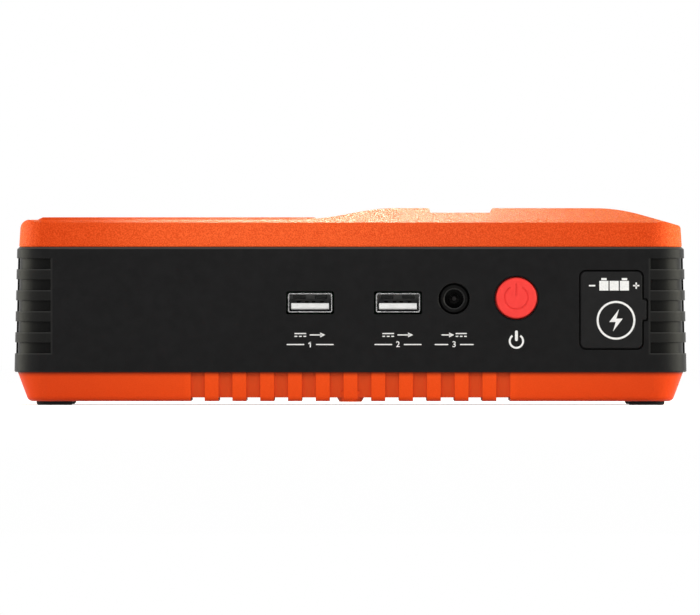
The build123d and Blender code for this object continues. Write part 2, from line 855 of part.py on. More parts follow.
with BuildPart() as middle_frame:
    add(band_form(0, seam_z, band_top_z))
    chamfer(middle_frame.faces().sort_by(Axis.Z)[-1].edges(), length=band_top_chamfer)
    chamfer(middle_frame.faces().sort_by(Axis.Z)[0].edges(), length=band_bottom_chamfer)
    # Ribbed corners, and the plain end panels set in between them.
    add(groove_cutter.part, mode=Mode.SUBTRACT)
    for side in (-1, 1):
        low_x = side * (half_length - end_panel_depth - lean_at(groove_foot - seam_z))
        high_x = side * (half_length - end_panel_depth - lean_at(groove_top - seam_z))
        with BuildSketch(Plane.XZ):
            with BuildLine():
                Polyline(
                    (low_x, groove_foot),
                    (low_x + cutter_margin * side, groove_foot),
                    (high_x + cutter_margin * side, groove_top),
                    (high_x, groove_top),
                    close=True,
                )
            make_face()
        extrude(amount=end_panel_width / 2, both=True, mode=Mode.SUBTRACT)
    # Hollow inside.
    add(band_form(band_wall, seam_z, band_top_z), mode=Mode.SUBTRACT)
    # Openings for the two charging sockets, the input jack and the button.
    with BuildSketch(panel):
        with Locations(*[(x, port_height) for x in port_places]):
            RectangleRounded(
                port_width + 2 * port_opening_gap,
                port_thickness + 2 * port_opening_gap,
                port_corner_radius,
            )
        with Locations((jack_x, jack_z)):
            Circle(jack_opening_radius)
        with Locations((button_x, button_z)):
            Circle(button_radius + button_gap)
    extrude(amount=-band_wall, mode=Mode.SUBTRACT)
    with BuildSketch(panel):
        with Locations((jack_x, jack_z)):
            Circle(jack_opening_radius + jack_lead_in)
    extrude(amount=-jack_lead_in, taper=45, mode=Mode.SUBTRACT)
    # Guide ring round the button's flange.
    ring_bore = button_radius + button_flange_width + button_ring_gap
    with BuildSketch(panel_back):
        with Locations((button_x, button_z)):
            Circle(ring_bore + button_ring_wall)
            Circle(ring_bore, mode=Mode.SUBTRACT)
    extrude(amount=-button_ring_length)
    # Pad behind the starter socket's opening, the cover's recess, the opening itself, and the
    # slot that the cover's anchor strip is pulled through.
    with BuildSketch(panel_back):
        with Locations((flap_x, flap_z)):
            Rectangle(
                flap_width + 2 * starter_pad_margin,
                starter_height + 2 * (starter_flange_reach + starter_flange_margin),
            )
    extrude(amount=-starter_pad)
    with BuildSketch(panel):
        add(flap_outline(flap_gap))
    extrude(amount=-recess_depth, mode=Mode.SUBTRACT)
    with BuildSketch(panel):
        add(starter_outline(starter_fit))
    extrude(amount=-band_wall - starter_pad, mode=Mode.SUBTRACT)
    with BuildSketch(panel):
        with Locations((anchor_x, flap_z)):
            Rectangle(anchor_slot, anchor_height + 2 * anchor_gap)
    extrude(amount=-band_wall - starter_pad, mode=Mode.SUBTRACT)
    with BuildSketch(panel.offset(-band_wall - starter_pad)):
        with Locations(*starter_screw_places):
            Circle(small_screw_radius + screw_clearance / 2)
    extrude(
        amount=small_screw_length + small_screw_room - starter_flange_thickness,
        mode=Mode.SUBTRACT,
    )
    # Bosses that carry the main board.
    with BuildSketch(panel_back):
        with Locations(*board_screw_places):
            Circle(board_boss_radius)
    extrude(amount=-panel_board_gap)
    with BuildSketch(panel_back.offset(-panel_board_gap)):
        with Locations(*board_screw_places):
            Circle(small_screw_radius + screw_clearance / 2)
    extrude(amount=small_screw_length + small_screw_room - board_thickness, mode=Mode.SUBTRACT)
    # Torch opening in the left end: a lip in front, a seat for the lens, and two bosses.
    with BuildSketch(Plane.YZ.offset(-half_length)):
        with Locations((0, torch_z)):
            Circle(torch_opening_radius)
    extrude(amount=2 * band_wall, mode=Mode.SUBTRACT)
    with BuildSketch(Plane.YZ.offset(torch_seat_x)):
        with Locations((0, torch_z)):
            Circle(torch_lens_radius + torch_fit)
    extrude(amount=band_wall, mode=Mode.SUBTRACT)
    with BuildSketch(Plane.YZ.offset(torch_seat_x + band_wall / 3)):
        with Locations(*torch_boss_places):
            Circle(board_boss_radius)
    extrude(amount=torch_board_x - torch_seat_x - band_wall / 3)
    with BuildSketch(Plane.YZ.offset(torch_board_x)):
        with Locations(*torch_boss_places):
            Circle(small_screw_radius + screw_clearance / 2)
    extrude(amount=board_thickness - small_screw_length - small_screw_room, mode=Mode.SUBTRACT)
middle_frame.part.label = "middle_frame"
export_step(middle_frame.part, "parts/middle_frame.step")


# --- Charging sockets ------------------------------------------------------------------------

port_face = panel.offset(-port_setback)
port_inner_width = port_width - 2 * port_sheet
port_inner_height = port_thickness - 2 * port_sheet
tongue_top_z = port_height - port_inner_height / 2 + tongue_lift + tongue_thickness
port_depth = port_length - port_sheet
root_face = port_face.offset(tongue_root - port_depth)
root_window_z = port_height + port_inner_height / 2 - root_window_drop - root_window_height / 2
window_drop = port_window_start + port_window_length / 2

for number, port_x in enumerate(port_places, start=1):
    contact_z = tongue_top_z - contact_thickness / 2
    contact_places = [(port_x + offset, contact_z) for offset in contact_offsets]
    with BuildPart() as charge_port_shell:
        with BuildSketch(port_face):
            with Locations((port_x, port_height)):
                RectangleRounded(port_width, port_thickness, port_corner_radius)
        extrude(amount=-port_length)
        with BuildSketch(port_face):
            with Locations((port_x, port_height)):
                RectangleRounded(
                    port_inner_width,
                    port_inner_height,
                    port_corner_radius - port_sheet,
                )
        extrude(amount=-port_depth, mode=Mode.SUBTRACT)
        # Windows of the spring fingers in the top and the bottom wall.
        with BuildSketch(Plane.XY.offset(port_height)):
            with Locations((port_x, front_y + port_setback + window_drop)):
                with GridLocations(port_window_spacing, 0, 2, 1):
                    Rectangle(port_window_width, port_window_length)
        extrude(amount=port_thickness, both=True, mode=Mode.SUBTRACT)
    charge_port_shell.part.label = f"charge_port_shell_{number}"
    export_step(charge_port_shell.part, f"parts/charge_port_shell_{number}.step")

    with BuildPart() as charge_port_tongue:
        with BuildSketch(port_face.offset(-port_depth)):
            with Locations((port_x, port_height)):
                RectangleRounded(
                    port_inner_width - 2 * port_fit,
                    port_inner_height - 2 * port_fit,
                    port_corner_radius - port_sheet,
                )
        extrude(amount=tongue_root)
        # Recesses in the root: two under the top wall, and one where each contact comes out.
        with BuildSketch(root_face):
            with Locations((port_x, root_window_z)):
                with GridLocations(root_window_spacing, 0, 2, 1):
                    Rectangle(root_window_width, root_window_height)
            with Locations(*[(port_x + x, tongue_top_z) for x in contact_offsets]):
                Rectangle(contact_width + 2 * contact_pocket_gap, 2 * contact_pocket_height)
        extrude(amount=-root_recess_depth, mode=Mode.SUBTRACT)
        with BuildSketch(port_face.offset(-port_depth)):
            with Locations((port_x, tongue_top_z - tongue_thickness / 2)):
                Rectangle(tongue_width, tongue_thickness)
        extrude(amount=tongue_root + tongue_length)
        tip = charge_port_tongue.faces().sort_by(Axis.Y)[0]
        chamfer(tip.edges().filter_by(Axis.X), length=tongue_tip_chamfer)
        # Grooves that hold the contacts flush with the tongue's top.
        with BuildSketch(root_face.offset(-root_recess_depth)):
            with Locations(*contact_places):
                Rectangle(contact_width + 2 * contact_pocket_gap, contact_thickness)
        extrude(amount=root_recess_depth + contact_length, mode=Mode.SUBTRACT)
    charge_port_tongue.part.label = f"charge_port_tongue_{number}"
    export_step(charge_port_tongue.part, f"parts/charge_port_tongue_{number}.step")

    with BuildPart() as charge_port_contacts:
        with BuildSketch(root_face.offset(-root_recess_depth)):
            with Locations(*contact_places):
                Rectangle(contact_width, contact_thickness)
        extrude(amount=root_recess_depth + contact_length)
    charge_port_contacts.part.label = f"charge_port_contacts_{number}"
    export_step(charge_port_contacts.part, f"parts/charge_port_contacts_{number}.step")


# --- Input jack ------------------------------------------------------------------------------

jack_face = panel.offset(-jack_setback)
jack_shoulder = board_front_y - front_inner_y - seam_clearance
jack_nose_length = board_front_y - front_y - jack_setback
jack_floor = jack_face.offset(-jack_bore_depth)

with BuildPart() as input_jack_body:
    with BuildSketch(jack_face):
        with Locations((jack_x, jack_z)):
            Circle(jack_nose_radius)
    extrude(amount=-jack_nose_length)
    with BuildSketch(panel_back.offset(-panel_board_gap)):
        with Locations((jack_x, jack_z)):
            Rectangle(jack_body_width, jack_body_height)
    extrude(amount=jack_shoulder)
    with BuildSketch(jack_face):
        with Locations((jack_x, jack_z)):
            Circle(jack_bore_radius)
    extrude(amount=-jack_bore_depth, mode=Mode.SUBTRACT)
    mouth = input_jack_body.faces().sort_by(Axis.Y)[0]
    chamfer(mouth.edges(), length=jack_edge_chamfer)
    # Hole for the centre pin, and the groove of the spring contact beside the bore.
    with BuildSketch(jack_face):
        with Locations((jack_x, jack_z)):
            Circle(jack_pin_root_radius + port_fit)
    extrude(amount=-jack_nose_length, mode=Mode.SUBTRACT)
    with BuildSketch(jack_floor):
        with Locations((jack_x, jack_z - jack_bore_radius - jack_spring_thickness / 2)):
            Rectangle(jack_spring_width + 2 * port_fit, 3 * jack_spring_thickness)
    extrude(amount=jack_bore_depth - 2 * jack_edge_chamfer, mode=Mode.SUBTRACT)
input_jack_body.part.label = "input_jack_body"
export_step(input_jack_body.part, "parts/input_jack_body.step")

with BuildPart() as input_jack_pin:
    with BuildSketch(jack_face.offset(-jack_nose_length)):
        with Locations((jack_x, jack_z)):
            Circle(jack_pin_root_radius)
    extrude(amount=jack_nose_length - jack_bore_depth)
    with BuildSketch(jack_floor):
        with Locations((jack_x, jack_z)):
            Circle(jack_pin_radius)
    extrude(amount=jack_bore_depth - jack_pin_setback)
    pin_tip = input_jack_pin.faces().sort_by(Axis.Y)[0]
    chamfer(pin_tip.edges(), length=jack_pin_chamfer)
input_jack_pin.part.label = "input_jack_pin"
export_step(input_jack_pin.part, "parts/input_jack_pin.step")

with BuildPart() as input_jack_spring:
    spring_z = jack_z - jack_bore_radius - jack_spring_thickness
    with BuildSketch(jack_floor):
        with Locations((jack_x, spring_z)):
            Rectangle(jack_spring_width, jack_spring_thickness)
    extrude(amount=jack_bore_depth - 3 * jack_edge_chamfer)
input_jack_spring.part.label = "input_jack_spring"
export_step(input_jack_spring.part, "parts/input_jack_spring.step")


# --- Power button and its switch -------------------------------------------------------------

flange_y = front_inner_y + button_seat_gap
switch_face_y = board_front_y - switch_height
plunger_tip_y = switch_face_y - switch_plunger_reach
stem_end_y = plunger_tip_y - switch_plunger_gap
plunger_root = button_travel + switch_plunger_root

with BuildPart() as power_button:
    with BuildSketch(panel.offset(button_proud)):
        with Locations((button_x, button_z)):
            Circle(button_radius)
    extrude(amount=-(flange_y - front_y + button_proud))
    cap_face = power_button.faces().sort_by(Axis.Y)[0]
    chamfer(cap_face.edges(), length=button_edge_chamfer)
    with BuildSketch(panel.offset(front_y - flange_y)):
        with Locations((button_x, button_z)):
            Circle(button_radius + button_flange_width)
    extrude(amount=-button_flange_thickness)
    with BuildSketch(panel.offset(front_y - flange_y)):
        with Locations((button_x, button_z)):
            Circle(button_stem_radius)
    extrude(amount=flange_y - stem_end_y)
power_button.part.label = "power_button"
export_step(power_button.part, "parts/power_button.step")

with BuildPart() as switch_body:
    with BuildSketch(panel.offset(front_y - board_front_y)):
        with Locations((button_x, button_z)):
            RectangleRounded(switch_width, switch_width, switch_corner_radius)
    extrude(amount=switch_height)
    with BuildSketch(panel.offset(front_y - switch_face_y)):
        with Locations((button_x, button_z)):
            Circle(switch_plunger_radius + switch_plunger_gap)
    extrude(amount=-plunger_root - button_travel - switch_plunger_gap, mode=Mode.SUBTRACT)
switch_body.part.label = "switch_body"
export_step(switch_body.part, "parts/switch_body.step")

with BuildPart() as switch_plunger:
    with BuildSketch(panel.offset(front_y - plunger_tip_y)):
        with Locations((button_x, button_z)):
            Circle(switch_plunger_radius)
    extrude(amount=-switch_plunger_reach - plunger_root)
    plunger_tip = switch_plunger.faces().sort_by(Axis.Y)[0]
    chamfer(plunger_tip.edges(), length=switch_plunger_chamfer)
switch_plunger.part.label = "switch_plunger"
export_step(switch_plunger.part, "parts/switch_plunger.step")


# --- Rubber cover over the starter socket ----------------------------------------------------

with BuildPart() as port_cover:
    with BuildSketch(panel):
        add(flap_outline(0))
    extrude(amount=-flap_thickness)
    cover_front = port_cover.faces().sort_by(Axis.Y)[0]
    chamfer(cover_front.edges(), length=flap_edge_chamfer)
    # Rim on the inside that plugs the socket's opening.
    with BuildSketch(panel.offset(-flap_thickness)):
        add(starter_outline(starter_fit - flap_rim_clearance))
        add(starter_outline(starter_fit - flap_rim_clearance - flap_rim_wall), mode=Mode.SUBTRACT)
    extrude(amount=-flap_rim_depth)
port_cover.part.label = "port_cover"
export_step(port_cover.part, "parts/port_cover.step")

with BuildPart() as port_cover_anchor:
    anchor_depth = band_wall + starter_pad + anchor_flange_thickness
    with BuildSketch(panel.offset(-recess_depth)):
        with Locations((anchor_x, flap_z)):
            Rectangle(anchor_lip, anchor_height)
    extrude(amount=recess_depth - anchor_depth)
    with BuildSketch(panel.offset(-band_wall - starter_pad)):
        with Locations((anchor_x - anchor_flange_width / 4, flap_z)):
            Rectangle(anchor_flange_width, anchor_height)
    extrude(amount=-anchor_flange_thickness)
port_cover_anchor.part.label = "port_cover_anchor"
export_step(port_cover_anchor.part, "parts/port_cover_anchor.step")


# --- Starter socket --------------------------------------------------------------------------

starter_face_y = front_y + flap_thickness + flap_rim_depth + starter_face_gap
starter_back_y = starter_face_y + starter_length
starter_face = panel.offset(front_y - starter_face_y)

with BuildPart() as starter_socket_body:
    with BuildSketch(starter_face):
        add(starter_outline(0))
    extrude(amount=-starter_length)
    with BuildSketch(panel.offset(-band_wall - starter_pad)):
        with Locations((flap_x, flap_z)):
            Rectangle(starter_width, starter_height + 2 * starter_flange_reach)
    extrude(amount=-starter_flange_thickness)
    with BuildSketch(starter_face):
        with Locations(*[(flap_x, flap_z + offset) for offset, _ in starter_places]):
            Circle(starter_mouth_radius)
    extrude(amount=-starter_mouth_depth, mode=Mode.SUBTRACT)
    with BuildSketch(starter_face.offset(-starter_mouth_depth)):
        with Locations(*[(flap_x, flap_z + offset) for offset, _ in starter_places]):
            Circle(starter_tube_radius + port_fit)
    extrude(amount=-starter_length, mode=Mode.SUBTRACT)
    with BuildSketch(panel.offset(-band_wall - starter_pad)):
        with Locations(*starter_screw_places):
            Circle(small_screw_radius + screw_clearance)
    extrude(amount=-starter_flange_thickness, mode=Mode.SUBTRACT)
starter_socket_body.part.label = "starter_socket_body"
export_step(starter_socket_body.part, "parts/starter_socket_body.step")

for offset, pole in starter_places:
    with BuildPart() as starter_contact:
        with BuildSketch(starter_face.offset(-starter_mouth_depth)):
            with Locations((flap_x, flap_z + offset)):
                Circle(starter_tube_radius)
        extrude(amount=starter_mouth_depth - starter_length - starter_tail)
        with BuildSketch(starter_face.offset(-starter_mouth_depth)):
            with Locations((flap_x, flap_z + offset)):
                Circle(starter_bore_radius)
        extrude(amount=-starter_bore_depth, mode=Mode.SUBTRACT)
    starter_contact.part.label = f"starter_contact_{pole}"
    export_step(starter_contact.part, f"parts/starter_contact_{pole}.step")

with BuildPart() as starter_screws:
    screw_seat = panel.offset(-band_wall - starter_pad - starter_flange_thickness)
    with BuildSketch(screw_seat):
        with Locations(*starter_screw_places):
            Circle(small_head_radius)
    extrude(amount=-small_head_height)
    with BuildSketch(screw_seat):
        with Locations(*starter_screw_places):
            Circle(small_screw_radius)
    extrude(amount=small_screw_length)
starter_screws.part.label = "starter_screws"
export_step(starter_screws.part, "parts/starter_screws.step")


# --- Main board ------------------------------------------------------------------------------

board_centre = (board_left + board_width / 2, board_low + board_height / 2)
board_face = panel.offset(front_y - board_front_y)
board_back = panel.offset(front_y - board_back_y)

with BuildPart() as main_board:
    with BuildSketch(board_face):
        with Locations(board_centre):
            RectangleRounded(board_width, board_height, board_corner_radius)
        with Locations(*board_screw_places):
            Circle(small_screw_radius + screw_clearance, mode=Mode.SUBTRACT)
    extrude(amount=-board_thickness)
main_board.part.label = "main_board"
export_step(main_board.part, "parts/main_board.step")

with BuildPart() as board_screws:
    with BuildSketch(board_back):
        with Locations(*board_screw_places):
            Circle(small_head_radius)
    extrude(amount=-small_head_height)
    with BuildSketch(board_back):
        with Locations(*board_screw_places):
            Circle(small_screw_radius)
    extrude(amount=small_screw_length)
board_screws.part.label = "board_screws"
export_step(board_screws.part, "parts/board_screws.step")

port_gap_x = sum(port_places) / len(port_places)

with BuildPart() as board_capacitors:
    with BuildSketch(board_face):
        with Locations(
            (port_gap_x, port_height + capacitor_spacing / 2),
            (port_gap_x, port_height - capacitor_spacing / 2),
        ):
            Circle(capacitor_radius)
    extrude(amount=capacitor_height)
    capacitor_tops = board_capacitors.faces().sort_by(Axis.Y)[0:2]
    chamfer(capacitor_tops.edges(), length=capacitor_edge)
board_capacitors.part.label = "board_capacitors"
export_step(board_capacitors.part, "parts/board_capacitors.step")

with BuildPart() as board_inductor:
    with BuildSketch(board_face):
        with Locations((jack_x, board_low + inductor_margin + inductor_size / 2)):
            RectangleRounded(inductor_size, inductor_size, inductor_corner_radius)
    extrude(amount=inductor_height)
    chamfer(board_inductor.faces().sort_by(Axis.Y)[0].edges(), length=inductor_edge)
board_inductor.part.label = "board_inductor"
export_step(board_inductor.part, "parts/board_inductor.step")

with BuildPart() as board_chips:
    with BuildSketch(board_back):
        with Locations(*[(x, port_height) for x in port_places], (jack_x, jack_z)):
            Rectangle(chip_length, chip_width)
    extrude(amount=-chip_height)
board_chips.part.label = "board_chips"
export_step(board_chips.part, "parts/board_chips.step")


# --- Cells and pads --------------------------------------------------------------------------

for number in range(1, cell_count + 2):
    pad_z = cell_stack_z + (number - 1) * cell_step
    with BuildPart() as cell_pad:
        with BuildSketch(Plane.XY.offset(pad_z)):
            with Locations((0, cell_y)):
                Rectangle(cell_length - 2 * pad_margin, cell_width - 2 * pad_margin)
        extrude(amount=pad_thickness)
    cell_pad.part.label = f"cell_pad_{number}"
    export_step(cell_pad.part, f"parts/cell_pad_{number}.step")

tab_offset = guard_width / 2 - guide_reach - tab_guide_gap - tab_width / 2
tab_places = [(guard_x - tab_length / 2, cell_y + side * tab_offset) for side in (-1, 1)]

for number in range(1, cell_count + 1):
    cell_z = cell_stack_z + (number - 1) * cell_step + pad_thickness
    seal_z = cell_z + cell_thickness / 2
    with BuildPart() as cell:
        with BuildSketch(Plane.XY.offset(cell_z)):
            with Locations((-cell_seal_length / 2, cell_y)):
                Rectangle(cell_length - cell_seal_length, cell_width)
        extrude(amount=cell_thickness)
        fillet(cell.edges().filter_by(Axis.X), radius=cell_edge_radius)
        with BuildSketch(Plane.XY.offset(seal_z - cell_seal_thickness / 2)):
            with Locations((cell_length / 2 - cell_seal_length, cell_y)):
                Rectangle(
                    2 * cell_seal_length,
                    cell_width - 2 * cell_edge_radius,
                )
        extrude(amount=cell_seal_thickness)
    cell.part.label = f"cell_{number}"
    export_step(cell.part, f"parts/cell_{number}.step")

    with BuildPart() as cell_tabs:
        with BuildSketch(Plane.XY.offset(seal_z - tab_thickness / 2)):
            with Locations(*tab_places):
                Rectangle(tab_length, tab_width)
        extrude(amount=tab_thickness)
    cell_tabs.part.label = f"cell_tabs_{number}"
    export_step(cell_tabs.part, f"parts/cell_tabs_{number}.step")


# --- Protection board and the starter leads --------------------------------------------------

guard_face_x = guard_x + board_thickness
guard_plane = Plane.YZ.offset(guard_x)
guard_outer = Plane.YZ.offset(guard_face_x)

with BuildPart() as protection_board:
    with BuildSketch(guard_plane):
        with Locations((cell_y, guard_bottom + guard_height / 2)):
            Rectangle(guard_width, guard_height)
    extrude(amount=board_thickness)
protection_board.part.label = "protection_board"
export_step(protection_board.part, "parts/protection_board.step")

with BuildPart() as protection_chips:
    with BuildSketch(guard_outer):
        with Locations((cell_y, guard_bottom + chip_length)):
            with GridLocations(chip_pitch, 0, 4, 1):
                Rectangle(chip_width, chip_length)
    extrude(amount=chip_height)
protection_chips.part.label = "protection_chips"
export_step(protection_chips.part, "parts/protection_chips.step")

lead_start_y = starter_back_y + starter_tail
lead_bow_x = guard_face_x + lead_bow
lead_end_y = cell_y + lead_landing

for offset, pole in starter_places:
    lead_z = flap_z + offset
    with BuildPart() as starter_lead:
        with BuildLine():
            route = FilletPolyline(
                (flap_x, lead_start_y, lead_z),
                (flap_x, lead_start_y + lead_straight, lead_z),
                (lead_bow_x, lead_start_y + lead_straight + lead_slant, lead_z),
                (lead_bow_x, lead_end_y, lead_z),
                (guard_face_x, lead_end_y, lead_z),
                radius=lead_bend_radius,
            )
        with BuildSketch(Plane(origin=route @ 0, z_dir=route % 0)):
            Circle(lead_radius)
        sweep()
    starter_lead.part.label = f"{pole}_lead"
    export_step(starter_lead.part, f"parts/{pole}_lead.step")


# --- Torch in the left end -------------------------------------------------------------------

torch_centre = (0, torch_z)
torch_bowl_radius = torch_lens_radius - torch_fit
torch_bowl_middle = torch_bowl_share * torch_bowl_radius
torch_bowl_middle_x = torch_bowl_x + torch_bowl_share * torch_bowl_depth

with BuildPart() as torch_lens:
    with BuildSketch(Plane.YZ.offset(torch_seat_x)):
        with Locations(torch_centre):
            Circle(torch_lens_radius)
    extrude(amount=torch_lens_thickness)
    with BuildSketch(Plane.YZ.offset(torch_seat_x)):
        with Locations(torch_centre):
            Circle(torch_opening_radius - torch_fit)
    extrude(amount=-torch_lip / 2)
torch_lens.part.label = "torch_lens"
export_step(torch_lens.part, "parts/torch_lens.step")

with BuildPart() as torch_reflector:
    with BuildSketch(Plane.XZ):
        with BuildLine():
            bowl = ThreePointArc(
                (torch_bowl_x, torch_z + torch_bowl_radius - torch_bowl_wall),
                (torch_bowl_middle_x, torch_z + torch_bowl_middle),
                (torch_board_x, torch_z + torch_bowl_neck),
                mode=Mode.PRIVATE,
            )
            rings = [bowl @ (step / torch_bowl_facets) for step in range(torch_bowl_facets + 1)]
            Polyline(
                *[(ring.X, ring.Y) for ring in rings],
                (torch_board_x, torch_z + torch_bowl_neck + torch_bowl_wall),
                (torch_board_x - torch_bowl_rim, torch_z + torch_bowl_radius),
                (torch_bowl_x, torch_z + torch_bowl_radius),
                close=True,
            )
        make_face()
    revolve(axis=Axis((0, 0, torch_z), (1, 0, 0)))
torch_reflector.part.label = "torch_reflector"
export_step(torch_reflector.part, "parts/torch_reflector.step")

with BuildPart() as torch_emitter:
    with BuildSketch(Plane.YZ.offset(torch_board_x)):
        with Locations(torch_centre):
            Rectangle(torch_emitter_size, torch_emitter_size)
    extrude(amount=-torch_emitter_height / 2)
    with BuildSketch(Plane.YZ.offset(torch_board_x - torch_emitter_height / 2)):
        with Locations(torch_centre):
            Circle(torch_emitter_dome_radius)
    extrude(amount=-torch_emitter_height / 2)
    dome = torch_emitter.faces().sort_by(Axis.X)[0]
    chamfer(dome.edges(), length=torch_emitter_height / 4)
torch_emitter.part.label = "torch_emitter"
export_step(torch_emitter.part, "parts/torch_emitter.step")

with BuildPart() as torch_board:
    with BuildSketch(Plane.YZ.offset(torch_board_x)):
        with Locations(torch_centre):
            RectangleRounded(torch_board_width, torch_board_height, board_corner_radius)
        with Locations(*torch_boss_places):
            Circle(small_screw_radius + screw_clearance, mode=Mode.SUBTRACT)
    extrude(amount=board_thickness)
torch_board.part.label = "torch_board"
export_step(torch_board.part, "parts/torch_board.step")

with BuildPart() as torch_screws:
    with BuildSketch(Plane.YZ.offset(torch_board_x + board_thickness)):
        with Locations(*torch_boss_places):
            Circle(small_head_radius)
    extrude(amount=small_head_height)
    with BuildSketch(Plane.YZ.offset(torch_board_x + board_thickness)):
        with Locations(*torch_boss_places):
            Circle(small_screw_radius)
    extrude(amount=-small_screw_length)
torch_screws.part.label = "torch_screws"
export_step(torch_screws.part, "parts/torch_screws.step")


# --- Charge lights ---------------------------------------------------------------------------

light_foot_z = level_board_z + board_thickness + level_emitter_height + light_air_gap

for number, light_place in enumerate(light_places, start=1):
    with BuildPart() as level_light:
        with BuildSketch(Plane.XY.offset(light_foot_z)):
            with Locations(light_place):
                Circle(light_flange_radius)
        extrude(amount=light_flange_height)
        with BuildSketch(Plane.XY.offset(light_foot_z)):
            with Locations(light_place):
                Circle(light_radius)
        extrude(amount=channel_floor_z - light_foot_z)
        light_top = level_light.faces().sort_by(Axis.Z)[-1]
        chamfer(light_top.edges(), length=light_chamfer)
    level_light.part.label = f"level_light_{number}"
    export_step(level_light.part, f"parts/level_light_{number}.step")

with BuildPart() as level_board:
    with BuildSketch(Plane.XY.offset(level_board_z)):
        with Locations((channel_centre, 0)):
            RectangleRounded(level_board_width, level_board_length, board_corner_radius)
        with Locations(*level_boss_places):
            Circle(small_screw_radius + screw_clearance, mode=Mode.SUBTRACT)
    extrude(amount=board_thickness)
level_board.part.label = "level_board"
export_step(level_board.part, "parts/level_board.step")

with BuildPart() as level_emitters:
    with BuildSketch(Plane.XY.offset(level_board_z + board_thickness)):
        with Locations(*light_places):
            Rectangle(level_emitter_size, level_emitter_size)
    extrude(amount=level_emitter_height)
level_emitters.part.label = "level_emitters"
export_step(level_emitters.part, "parts/level_emitters.step")

with BuildPart() as level_screws:
    with BuildSketch(Plane.XY.offset(level_board_z)):
        with Locations(*level_boss_places):
            Circle(small_head_radius)
    extrude(amount=-small_head_height)
    with BuildSketch(Plane.XY.offset(level_board_z)):
        with Locations(*level_boss_places):
            Circle(small_screw_radius)
    extrude(amount=small_screw_length)
level_screws.part.label = "level_screws"
export_step(level_screws.part, "parts/level_screws.step")


# --- Case screws -----------------------------------------------------------------------------

with BuildPart() as case_screws:
    with BuildSketch(Plane.XY.offset(screw_head_seat)):
        with Locations(*post_places):
            Circle(screw_head_radius)
    extrude(amount=-screw_head_height)
    with BuildSketch(Plane.XY.offset(screw_head_seat)):
        with Locations(*post_places):
            Circle(screw_radius)
    extrude(amount=screw_length)
case_screws.part.label = "case_screws"
export_step(case_screws.part, "parts/case_screws.step")
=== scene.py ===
# %% [markdown]
# # A jump starter pack, dressed for its picture
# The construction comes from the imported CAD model: every moulding, socket, screw and cell is
# already there at its real size. This notebook gives each piece the surface that the real one
# has, adds what is printed and pressed into it, and sets up the camera, the floor and the light.

# %% Load the frame
import math

import bmesh
import bpy
from mathutils import Matrix, Vector


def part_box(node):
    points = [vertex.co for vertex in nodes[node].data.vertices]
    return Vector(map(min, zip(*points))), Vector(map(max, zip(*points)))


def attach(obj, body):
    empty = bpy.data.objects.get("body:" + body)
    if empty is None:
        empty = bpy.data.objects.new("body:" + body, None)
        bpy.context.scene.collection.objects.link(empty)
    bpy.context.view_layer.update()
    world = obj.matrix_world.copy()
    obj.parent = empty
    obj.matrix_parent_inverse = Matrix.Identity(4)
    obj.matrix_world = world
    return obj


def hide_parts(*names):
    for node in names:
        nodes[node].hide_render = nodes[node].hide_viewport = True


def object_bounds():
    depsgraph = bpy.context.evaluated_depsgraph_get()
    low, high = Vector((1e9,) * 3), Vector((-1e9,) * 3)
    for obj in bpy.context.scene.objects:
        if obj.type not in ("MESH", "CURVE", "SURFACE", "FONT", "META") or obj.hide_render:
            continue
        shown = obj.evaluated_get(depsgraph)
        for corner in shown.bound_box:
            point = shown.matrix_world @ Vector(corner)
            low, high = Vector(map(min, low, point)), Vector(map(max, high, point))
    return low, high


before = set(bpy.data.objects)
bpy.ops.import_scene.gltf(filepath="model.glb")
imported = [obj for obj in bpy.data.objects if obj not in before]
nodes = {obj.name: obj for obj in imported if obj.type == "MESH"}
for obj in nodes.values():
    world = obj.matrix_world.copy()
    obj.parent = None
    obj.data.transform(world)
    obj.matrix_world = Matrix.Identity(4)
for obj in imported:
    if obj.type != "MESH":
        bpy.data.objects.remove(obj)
cad_low, cad_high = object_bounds()
cad_low = Vector(cad_low)
cad_high = Vector(cad_high)
MM = 0.001
print("nodes", len(nodes), "size in mm", [round(v / MM, 1) for v in cad_high - cad_low])

# %% [markdown]
# ## The camera
# A catalogue picture of a box is taken from far away with a long lens, so that the front panel
# stays square and its sides hardly converge. An orthographic camera would do that too, but a
# long lens keeps the last trace of depth that a real one shows. The distance follows from the
# width that should fit in the frame: the case plus a narrow margin. The camera aims at half the
# case's height and a hair to the left of its middle.

# %% Camera in front of the panel
frame_width = 208.0 * MM
sensor_width = 36.0
focal_length = 1200.0
aim_height = 29.0 * MM
aim_side = -0.15 * MM
camera_distance = frame_width * focal_length / sensor_width

camera_data = bpy.data.cameras.new("camera")
camera_data.sensor_width = sensor_width
camera_data.lens = focal_length
camera_data.clip_start = 0.1
camera_data.clip_end = 50
camera = bpy.data.objects.new("camera", camera_data)
bpy.context.scene.collection.objects.link(camera)
camera.location = (aim_side, cad_low.y - camera_distance, aim_height)
camera.rotation_euler = (math.radians(90), 0, 0)
bpy.context.scene.camera = camera
bpy.context.scene.view_settings.view_transform = "Standard"
print("camera distance", round(camera_distance, 3), "m")

# %% [markdown]
# ## Colour as it looks, light by number
# The shaders work in linear light, but a colour is easiest to name as it looks on a screen, so
# one helper turns the 0 to 255 values of a screen colour into linear ones.


# %% Screen colour to linear
def screen(red, green, blue):
    """A linear colour from the values 0 to 255 that it shows on a screen."""
    linear = []
    for value in (red, green, blue):
        share = value / 255
        if share <= 0.04045:
            linear.append(share / 12.92)
        else:
            linear.append(((share + 0.055) / 1.055) ** 2.4)
    return (*linear, 1.0)


print("orange in linear light", [round(v, 3) for v in screen(240, 90, 40)])

